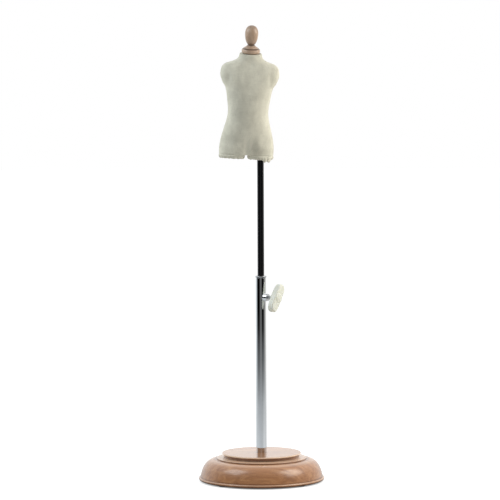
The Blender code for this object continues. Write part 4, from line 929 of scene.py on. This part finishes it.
def sewn(x, y, z, angle):
    """How far sewing moves the cloth outwards. A seam is a narrow groove, exp(-(distance / width)^2), with
    a low ridge beside it at the sides. The drag lines are a sine of the angle about the crotch, strongest
    at 24 mm from it, and the unevenness is three faint waves."""
    side = SIDE_CURVE * np.abs(np.abs(angle) - np.pi / 2)
    back = BACK_CURVE * (np.pi - np.abs(angle))
    seam = -0.0005 * np.exp(-((side / SEAM_WIDTH) ** 2)) - 0.0006 * np.exp(-((back / SEAM_WIDTH) ** 2))
    seam = seam + 0.00025 * np.exp(-(((side - 0.0025) / 0.0016) ** 2))
    from_crotch = np.hypot(np.abs(x), z - CROTCH)
    fan = np.arctan2(z - CROTCH + 0.004, np.abs(x) + 0.001)
    drag = 0.00028 * np.sin(fan * 15.0 + 0.6) * np.exp(-(((from_crotch - 0.024) / 0.016) ** 2)) * (y < 0.004)
    waves = np.sin(angle * 3 + z * 37) + np.sin(angle * 7 - z * 61 + 2) + np.sin(z * 113 + angle * 2)
    return seam + drag + 0.00004 * waves


def moved_out(x, y, middle_x, middle_y, far):
    """Points moved away from an upright axis by a distance."""
    dx, dy = x - middle_x, y - middle_y
    length = np.hypot(dx, dy)
    return x + dx / length * far, y + dy / length * far


def pucker(angle, seed):
    """Uneven gathers round a hem, from -1 to 1: a sum of three waves that don't repeat together."""
    fine, finer, finest = angle * 19 + seed, angle * 31 + 2.1 * seed, angle * 47 - seed
    return (np.sin(fine) + 0.8 * np.sin(finer) + 0.6 * np.sin(finest)) / 2.4


z = np.concatenate([np.linspace(CROTCH, HIP, 16)[:-1], np.linspace(HIP, SHOULDER, 104)[:-1],
                    np.linspace(SHOULDER, NECK_TOP, 46)])[:, None]
angle = np.linspace(-np.pi, np.pi, 2 * HALF_STEPS + 1)[None, :]
x, y = outline(angle, z)
far = sewn(x, y, z, angle) * np.clip((z - CROTCH) / 0.004, 0, 1) * np.clip((NECK_TOP - z) / 0.006, 0, 1)
far = far - 0.0001 * np.exp(-(((z - NECK_TOP + 0.004) / 0.0012) ** 2)) * (1 + 0.5 * pucker(angle, 2.0))
x, y = moved_out(x, y, 0.0, 0.002, far)
neck_middle = (NECK_BACK - NECK_FRONT) / 2
lift = np.clip((z - NECK_TOP) / NECK_SLANT + 1.0, 0.0, 1.0) * (y - neck_middle) * np.tan(NECK_TILT)
trunk = np.stack([x, y, z + lift], -1)
rim = trunk[-1]
flat = rim[:, :2] - (0, neck_middle)
edge = NECK_EDGE / NECK_HALF
turned_in = []
for t in np.radians(np.linspace(0, 90, 8)[1:]):
    turned_in.append((1 - edge * (1 - np.cos(t)), np.sin(t)))
turned_in += [(part_way(1 - edge, NECK_HEM, k), 1.0) for k in (0.25, 0.5, 0.75, 1.0)]
for share, rise in turned_in:
    height = NECK_TOP + share * flat[:, 1] * np.tan(NECK_TILT) + NECK_EDGE * rise
    trunk = np.concatenate([trunk, np.column_stack([share * flat, height])[None] + (0, neck_middle, 0)])
print("trunk grid", trunk.shape)

# %% [markdown]
# Below the crotch the body parts into two legs, which end in flat boards. The grid of each leg starts with
# the half outline of the body and closes it along the inside of the leg. The crotch is a small arch: the
# height falls with the square of the share of the way down, as the two inner sides part. Then the rows
# go round the leg's edge and in under it. A line of stitching above the hem pulls the cloth in, and the
# hem is puckered. At the front of the left leg a loose gather of cloth hangs down beside the rod.

# %% The legs of the cover
# the loose gather's drop, the place of its middle and half its width
HANG, GATHER_PLACE, GATHER_HALF = 0.0092, LEG_OFFSET + 0.0165, 0.0105
share = np.linspace(0.0, np.sqrt(1 - EDGE / CROTCH), 26)[:, None]
z = CROTCH * (1 - share**2)
angle = np.linspace(0.0, np.pi, HALF_STEPS + 1)[None, :]
x, y = outline(angle, z)
half = x.max(1, keepdims=True)
corner = share * (CROTCH_GAP + 0.007)
x = corner + x * (half - corner) / half
near = np.minimum(angle, np.pi - angle)
y = y * (1 - 0.10 * share * np.exp(-((near / 0.19) ** 2)))
t = np.linspace(0.0, 1.0, INNER_STEPS + 1)[None, 1:]
inner_y = y[:, -1:] + (y[:, :1] - y[:, -1:]) * t
inner_x = share * (CROTCH_GAP + 0.007 * np.abs(2 * t - 1) ** 4)
x, y = np.hstack([x, inner_x]), np.hstack([y, inner_y])
z = z + 0 * x
middle_y = (measures(np.array(0.0))[2] - measures(np.array(0.0))[1]) / 2
round_leg = np.arctan2(x[-1] - LEG_OFFSET, -(y[-1] - middle_y))


def cover_leg(side, seed):
    """One leg of the cover: down to its edge, round it by a quarter circle, and in under the leg end. The
    gathers grow with the square of the way down. Stitching is a groove with a ridge below it."""
    gather = pucker(round_leg, seed)
    fade = np.clip((CROTCH - z) / (CROTCH - EDGE), 0.0, 1.0) ** 2
    ridge = 0.0005 * np.exp(-(((z - EDGE - 0.0012) / 0.0016) ** 2))
    groove = 0.0008 * np.exp(-(((z - EDGE - 0.0042) / 0.0012) ** 2))
    stitched = (ridge - groove) * np.clip((x - CROTCH_GAP) / 0.006, 0, 1)
    px, py = moved_out(x, y, LEG_OFFSET, middle_y, 0.0008 * gather * fade + stitched)
    rows = [np.stack([px, py, z], -1)]
    for t in np.radians(np.linspace(0, 90, 9)[1:]):
        swell = (0.0008 + 0.0006 * np.sin(2 * t)) * gather
        qx, qy = moved_out(x[-1], y[-1], LEG_OFFSET, middle_y, -EDGE * (1 - np.cos(t)) + swell)
        down = EDGE * (1 - np.sin(t)) - 0.0009 * (gather + 0.3) * np.sin(t)
        rows.append(np.stack([qx, qy, down], -1)[None])
    for k in np.linspace(0, 1, 7)[1:]:
        qx, qy = moved_out(x[-1], y[-1], LEG_OFFSET, middle_y, -EDGE - HEM * k)
        up = -0.0009 * (gather + 0.3) * (1 - k) + 0.0004 * k
        rows.append(np.stack([qx, qy, up], -1)[None])
    leg = np.concatenate(rows)
    if side > 0:  # the loose gather that hangs at the front, beside the rod
        over = (leg[..., 0] - GATHER_PLACE) / GATHER_HALF
        sag = np.exp(-np.abs(over) ** 2.6) * np.clip((-leg[..., 1] - 0.012) / 0.012, 0, 1)
        low = np.clip((EDGE + 0.002 - leg[..., 2]) / EDGE, 0.0, 1.0) ** 1.5
        fold = 0.72 + 0.28 * np.sin(leg[..., 0] / 0.0021)
        leg[..., 2] -= HANG * sag * low * fold
        leg[..., 1] -= 0.0012 * sag * low * (fold - 0.6)
    return leg * (side, 1, 1)


parts = [trunk, cover_leg(1, 1.3), cover_leg(-1, 4.1)]
flats = [flat_lengths(grid) for grid in parts]
print("leg grid", parts[1].shape)

# %% [markdown]
# Linen is a plain weave with uneven yarn. The weave is worked out from the cover's own flat lengths, so
# it follows the surface: each yarn is a row of humps, a warp yarn and a weft yarn take turns on top, and
# slubs, the thicker places in a yarn, are noise drawn out along it. The low places between the yarns get
# painted shade. The cloth is matt with a soft sheen at grazing angles, where its fibres stand up. Soft
# patches of painted shade darken the front's middle, the neck and the thighs, and their edges follow the
# cloth's own mottling.


# %% Linen
def woven(name, pale, deep, pitch, relief, shade_patches=()):
    """A plain weave of yarns that lie pitch apart: hump = |sin| across each yarn, with warp on top where
    row + column is even. shade_patches are patches of painted shade, as (centre, reach, how much)."""
    made, tree, shader = new_finish(name)
    flat = node(tree, "SeparateXYZ", {0: node(tree, "UVMap", uv_map="lengths").outputs[0]})
    u, v = (reckon(tree, "DIVIDE", flat.outputs[k], pitch) for k in (0, 1))
    spot = node(tree, "TexCoord").outputs["UV"]
    warp_slub, weft_slub = (
        noise(tree, node(tree, "VectorMath", {0: spot, 1: way}, operation="MULTIPLY").outputs[0], 700.0, 3.0)
        for way in ((1.0, 0.05, 1.0), (0.05, 1.0, 1.0))
    )
    humps = []
    for number, slub in ((u, warp_slub), (v, weft_slub)):
        wave = reckon(tree, "ABSOLUTE", reckon(tree, "SINE", reckon(tree, "MULTIPLY", number, np.pi)))
        humps.append(reckon(tree, "MULTIPLY", wave, remapped(tree, slub, 0.3, 0.7, 0.65, 1.1)))
    cell = reckon(tree, "ADD", reckon(tree, "FLOOR", u), reckon(tree, "FLOOR", v))
    even = reckon(tree, "LESS_THAN", reckon(tree, "FLOORED_MODULO", cell, 2.0), 0.5)
    lower = reckon(tree, "MULTIPLY", reckon(tree, "MINIMUM", humps[0], humps[1]), 0.6)
    top = node(tree, "Mix", {0: even, 2: humps[1], 3: humps[0]}, data_type="FLOAT").outputs[0]
    height = reckon(tree, "MAXIMUM", top, lower)
    slub = reckon(tree, "MULTIPLY", reckon(tree, "ADD", warp_slub, weft_slub), 0.5)
    cloud = noise(tree, drawn_out(tree, (1.0, 1.0, 0.8)), 46.0, 5.0, 0.62)
    mixed = reckon(tree, "ADD", reckon(tree, "MULTIPLY", slub, 0.4), reckon(tree, "MULTIPLY", cloud, 0.6))
    colour = ramp(tree, mixed, [(0.38, deep), (0.60, pale)])
    # soft patches of painted shade
    for centre, reach, most in shade_patches:
        away = drawn_out(tree, tuple(1.0 / r for r in reach), centre=centre)
        away = node(tree, "VectorMath", {0: away}, operation="LENGTH").outputs["Value"]
        away = reckon(tree, "ADD", away, remapped(tree, cloud, 0.3, 0.7, -0.12, 0.12))
        patch_shade = remapped(tree, away, 1.15, 0.15, 0.0, most, "SMOOTHSTEP")
        colour = blend_of(tree, patch_shade, colour, tuple(0.55 * c for c in deep))
    # painted shade in the low places between the yarns
    weave_shade = grey(tree, remapped(tree, height, 0.0, 0.55, 0.86, 1.0))
    tree.links.new(blend_of(tree, 1.0, colour, weave_shade, "MULTIPLY"), shader.inputs["Base Color"])
    tree.links.new(remapped(tree, height, 0.0, 1.0, 0.95, 0.80), shader.inputs["Roughness"])
    shader.inputs["Specular IOR Level"].default_value = 0.25
    shader.inputs["Sheen Weight"].default_value = 0.10
    shader.inputs["Sheen Roughness"].default_value = 0.45
    bumped(tree, shader, height, relief, 0.6)
    return made


PAINTED_SHADE_PATCHES = [  # patches of painted shade on the front's middle, the neck and the thighs
    ((-0.046, -0.060, 0.900), (0.038, 0.05, 0.090), 0.34),
    ((-0.010, -0.060, 0.796), (0.020, 0.05, 0.036), 0.54),
    ((-0.071, -0.060, 0.824), (0.032, 0.05, 0.024), 0.20),
    ((-0.037, -0.050, 1.006), (0.020, 0.05, 0.032), 0.30),
]
YARN_PITCH, YARN_RELIEF, CLOTH_THICKNESS = 0.0008, 0.00012, 0.0009
linen = woven("natural_linen", (0.72, 0.70, 0.585), (0.59, 0.57, 0.47), YARN_PITCH, YARN_RELIEF, PAINTED_SHADE_PATCHES)
cover_grids = [placed(grid, torso_frame) for grid in parts]
cover = piece("linen_cover", cover_grids, linen, "form", ["torso_cover", "torso_core"], flats, sharp=180)
wall = cover.modifiers.new("cloth", "SOLIDIFY")
wall.thickness, wall.offset = CLOTH_THICKNESS, -1.0

# %% [markdown]
# ## The neck cap and the egg
#
# The cap is turned like the base, at a smaller scale: a half-round rim, a groove, and a cone that runs
# up to the finial's foot, which a sine makes slightly hollow. It is set square to the slanted top of the
# neck. Its beech is paler than the base's and only waxed, with its grain upright; painted shade darkens its
# creases.

# %% The neck cap
neck_frame = torso_frame @ Matrix.Translation((0, neck_middle, NECK_TOP)) @ Matrix.Rotation(NECK_TILT, 4, "X")
CAP_RADIUS, CAP_HEIGHT, CAP_HEAD, CAP_ROUND = 0.0220, 0.0200, 0.0092, 0.0006
RIM_HEIGHT, STUD_HOLE = 0.0115, 0.0028
t = np.radians(np.linspace(78, -90, 30))
rim = np.stack([CAP_RADIUS * (0.82 + 0.18 * np.cos(t)), RIM_HEIGHT / 2 * (1 + np.sin(t))], 1)
cone_foot, cone_head = (CAP_RADIUS * 0.80, RIM_HEIGHT + 0.0016), (CAP_HEAD, CAP_HEIGHT - CAP_ROUND)
t = np.linspace(1, 0, 14)[:, None]
cone = np.array(cone_foot) + (np.array(cone_head) - cone_foot) * t
cone[:, 0] -= 0.0010 * np.sin(np.pi * t[:, 0])
cap_outline = np.vstack([
    [(STUD_HOLE, CAP_HEIGHT)],
    arc((CAP_HEAD - CAP_ROUND, CAP_HEIGHT - CAP_ROUND), CAP_ROUND, 90, 10, 5),
    cone,
    bezier((CAP_RADIUS * 0.79, RIM_HEIGHT + 0.0014), (CAP_RADIUS * 0.70, RIM_HEIGHT + 0.0012),
           (CAP_RADIUS * 0.70, RIM_HEIGHT - 0.0004), (CAP_RADIUS * 0.80, RIM_HEIGHT - 0.0002), 8),
    rim,
    [(STUD_HOLE, 0), (STUD_HOLE, CAP_HEIGHT)],
])
cap_foot = NECK_EDGE + GAP
cap_frame = neck_frame @ Matrix.Translation((0, 0, cap_foot))
# painted shade at the rim's foot, in the groove and at the top under the egg; painted highlights on the rim
CAP_PAINTED_LIGHT = [
    (0.0, 0.06), (0.0013, 0.30), (0.0028, 0.50), (0.0045, 0.60), (0.0072, 0.56), (0.0098, 0.46),
    (0.0108, 0.16), (0.0122, 0.16), (0.0133, 0.58), (0.0150, 0.52), (0.0180, 0.44), (0.0200, 0.22),
]
# the colour of the painted highlights on the cap and the egg
PALE_PAINTED_HIGHLIGHT = (0.68, 0.54, 0.43)
cap_beech = beech("waxed_beech", *PALE_SHADES, UPRIGHT, coat=0.35, coat_rough=0.22,
                  painted_light_tones=CAP_PAINTED_LIGHT, seat=cap_frame, painted_highlight=PALE_PAINTED_HIGHLIGHT)
cap = piece("turned_neck_cap", [lathe(cap_outline, 96, cap_frame)], cap_beech, "form", ["neck_cap"])

# %% [markdown]
# The finial is an egg with its fuller end up, on a short stud. A sphere pulled out of shape would be
# symmetric, so the outline has two curves that meet level at the widest place: a crown near a quarter
# ellipse, and a belly whose radius falls as (1 - t^2.3)^0.62 towards the foot.

# %% The egg
EGG_RADIUS, EGG_HEIGHT, EGG_FOOT, STUD_DEPTH = 0.0157, 0.0470, 0.0058, 0.0143
full = 0.60 * EGG_HEIGHT
t = np.radians(np.linspace(90, 0, 40))
crown = np.stack([EGG_RADIUS * np.cos(t) ** 0.86, full + (EGG_HEIGHT - full) * np.sin(t)], 1)
crown[0, 0] = 0.0
t = np.linspace(0.02, 1.0, 40)
swell = (1 - t**2.3) ** 0.62
belly = np.stack([EGG_FOOT + (EGG_RADIUS - EGG_FOOT) * swell, full * (1 - t)], 1)
egg_outline = np.vstack([crown, belly, [(STUD_HOLE, 0), (STUD_HOLE, STUD_DEPTH), (0, STUD_DEPTH)]])
egg_frame = cap_frame @ Matrix.Translation((0, 0, CAP_HEIGHT + GAP))
# painted shade at the egg's foot against the cap; the tone is also darker towards the crown
EGG_PAINTED_LIGHT = [
    (0.0, 0.04), (0.0022, 0.16), (0.0058, 0.38), (0.010, 0.50), (0.037, 0.50), (0.042, 0.40), (0.047, 0.26),
]
egg_beech = beech("waxed_egg_beech", *PALE_SHADES, UPRIGHT, coat=0.45, coat_rough=0.20,
                  painted_light_tones=EGG_PAINTED_LIGHT, seat=egg_frame, painted_highlight=PALE_PAINTED_HIGHLIGHT)
egg = piece("turned_egg", [lathe(egg_outline, 80, egg_frame)], egg_beech, "form", ["finial"])

# %% [markdown]
# ## The socket's bush
#
# A white nylon bush lines the socket in the left leg and stands out below it as a short collar. It is
# the white spot at the top of the rod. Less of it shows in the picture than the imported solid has, so the
# collar's lower end is a little higher here.

# %% Nylon and the bush
nylon, tree, shader = new_finish("white_nylon")
cloud = noise(tree, drawn_out(tree), 120.0, 3.0)
mottled(tree, shader, cloud, [(0.3, (0.86, 0.86, 0.84)), (0.7, (0.92, 0.92, 0.90))], 0.42, 0.55)
bumped(tree, shader, noise(tree, drawn_out(tree), 900.0), 0.00002, 0.4)

COLLAR_RADIUS, SLEEVE_RADIUS, COLLAR_HEIGHT, SHORTER, COLLAR_EDGE = 0.0104, 0.0095, 0.0029, 0.0025, 0.0008
bush_low, bush_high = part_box("socket_bush")[0].z + SHORTER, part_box("socket_bush")[1].z
collar_top = bush_low + COLLAR_HEIGHT
collar_outline = np.vstack([
    [(BUSH_BORE, bush_high), (SLEEVE_RADIUS, bush_high)],
    [(SLEEVE_RADIUS, collar_top), (COLLAR_RADIUS, collar_top)],
    arc((COLLAR_RADIUS - COLLAR_EDGE, bush_low + COLLAR_EDGE), COLLAR_EDGE, 0, -90, 7),
    arc((BUSH_BORE + FINE_EDGE, bush_low + FINE_EDGE), FINE_EDGE, -90, -180, 4),
    [(BUSH_BORE, bush_high)],
])
collar = piece("nylon_bush", [lathe(collar_outline, 72)], nylon, "form", ["socket_bush"])

# %% [markdown]
# ## What is seen from below and inside
#
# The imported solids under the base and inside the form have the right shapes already, so they stay and
# only get their finishes: cast iron, rubber, zinc plate, brass, hardboard and plain beech.

# %% The remaining finishes
iron, tree, shader = new_finish("cast_iron")
grit = noise(tree, drawn_out(tree), 260.0, 6.0, 0.7)
mottled(tree, shader, grit, [(0.35, (0.055, 0.055, 0.062)), (0.70, (0.13, 0.13, 0.14))], 0.55, 0.75)
shader.inputs["Metallic"].default_value = 0.35
bumped(tree, shader, grit, 0.00025, 0.7)

rubber, tree, shader = new_finish("black_rubber")
bloom = noise(tree, drawn_out(tree), 180.0, 5.0)
mottled(tree, shader, bloom, [(0.4, (0.022, 0.022, 0.022)), (0.8, (0.055, 0.055, 0.053))], 0.75, 0.92)
bumped(tree, shader, bloom, 0.0001, 0.5)

hardboard, tree, shader = new_finish("hardboard")
felt = noise(tree, drawn_out(tree), 420.0, 8.0, 0.75)
mottled(tree, shader, felt, [(0.35, (0.26, 0.18, 0.115)), (0.65, (0.38, 0.28, 0.19))], 0.75, 0.9)
bumped(tree, shader, felt, 0.0001, 0.5)

PLAIN_SHADES = (0.30, 0.19, 0.12), (0.40, 0.27, 0.18), (0.48, 0.34, 0.23)
plain_beech = beech("plain_beech", *PLAIN_SHADES, UPRIGHT, coat=0.0, rough=0.6)
FINISHES = {
    "base_beech": base_beech, "base_disc_beech": disc_beech, "ballast_iron": iron, "fastener_steel": zinc,
    "foot_rubber": rubber, "tube_chrome": chrome, "bush_chrome": satin_chrome, "boss_chrome": boss_chrome,
    "pad_brass": brass, "knob_ivory": ivory, "rod_black": enamel, "nylon_white": nylon, "core_foam": linen,
    "cover_linen": linen, "leg_board": hardboard, "block_beech": plain_beech, "cap_beech": cap_beech,
    "finial_beech": egg_beech,
}
for part in frame["record"]["subparts"]:
    slots = solids[part["node"]].data.materials
    slots.clear()
    slots.append(FINISHES[part["material_slot"]])
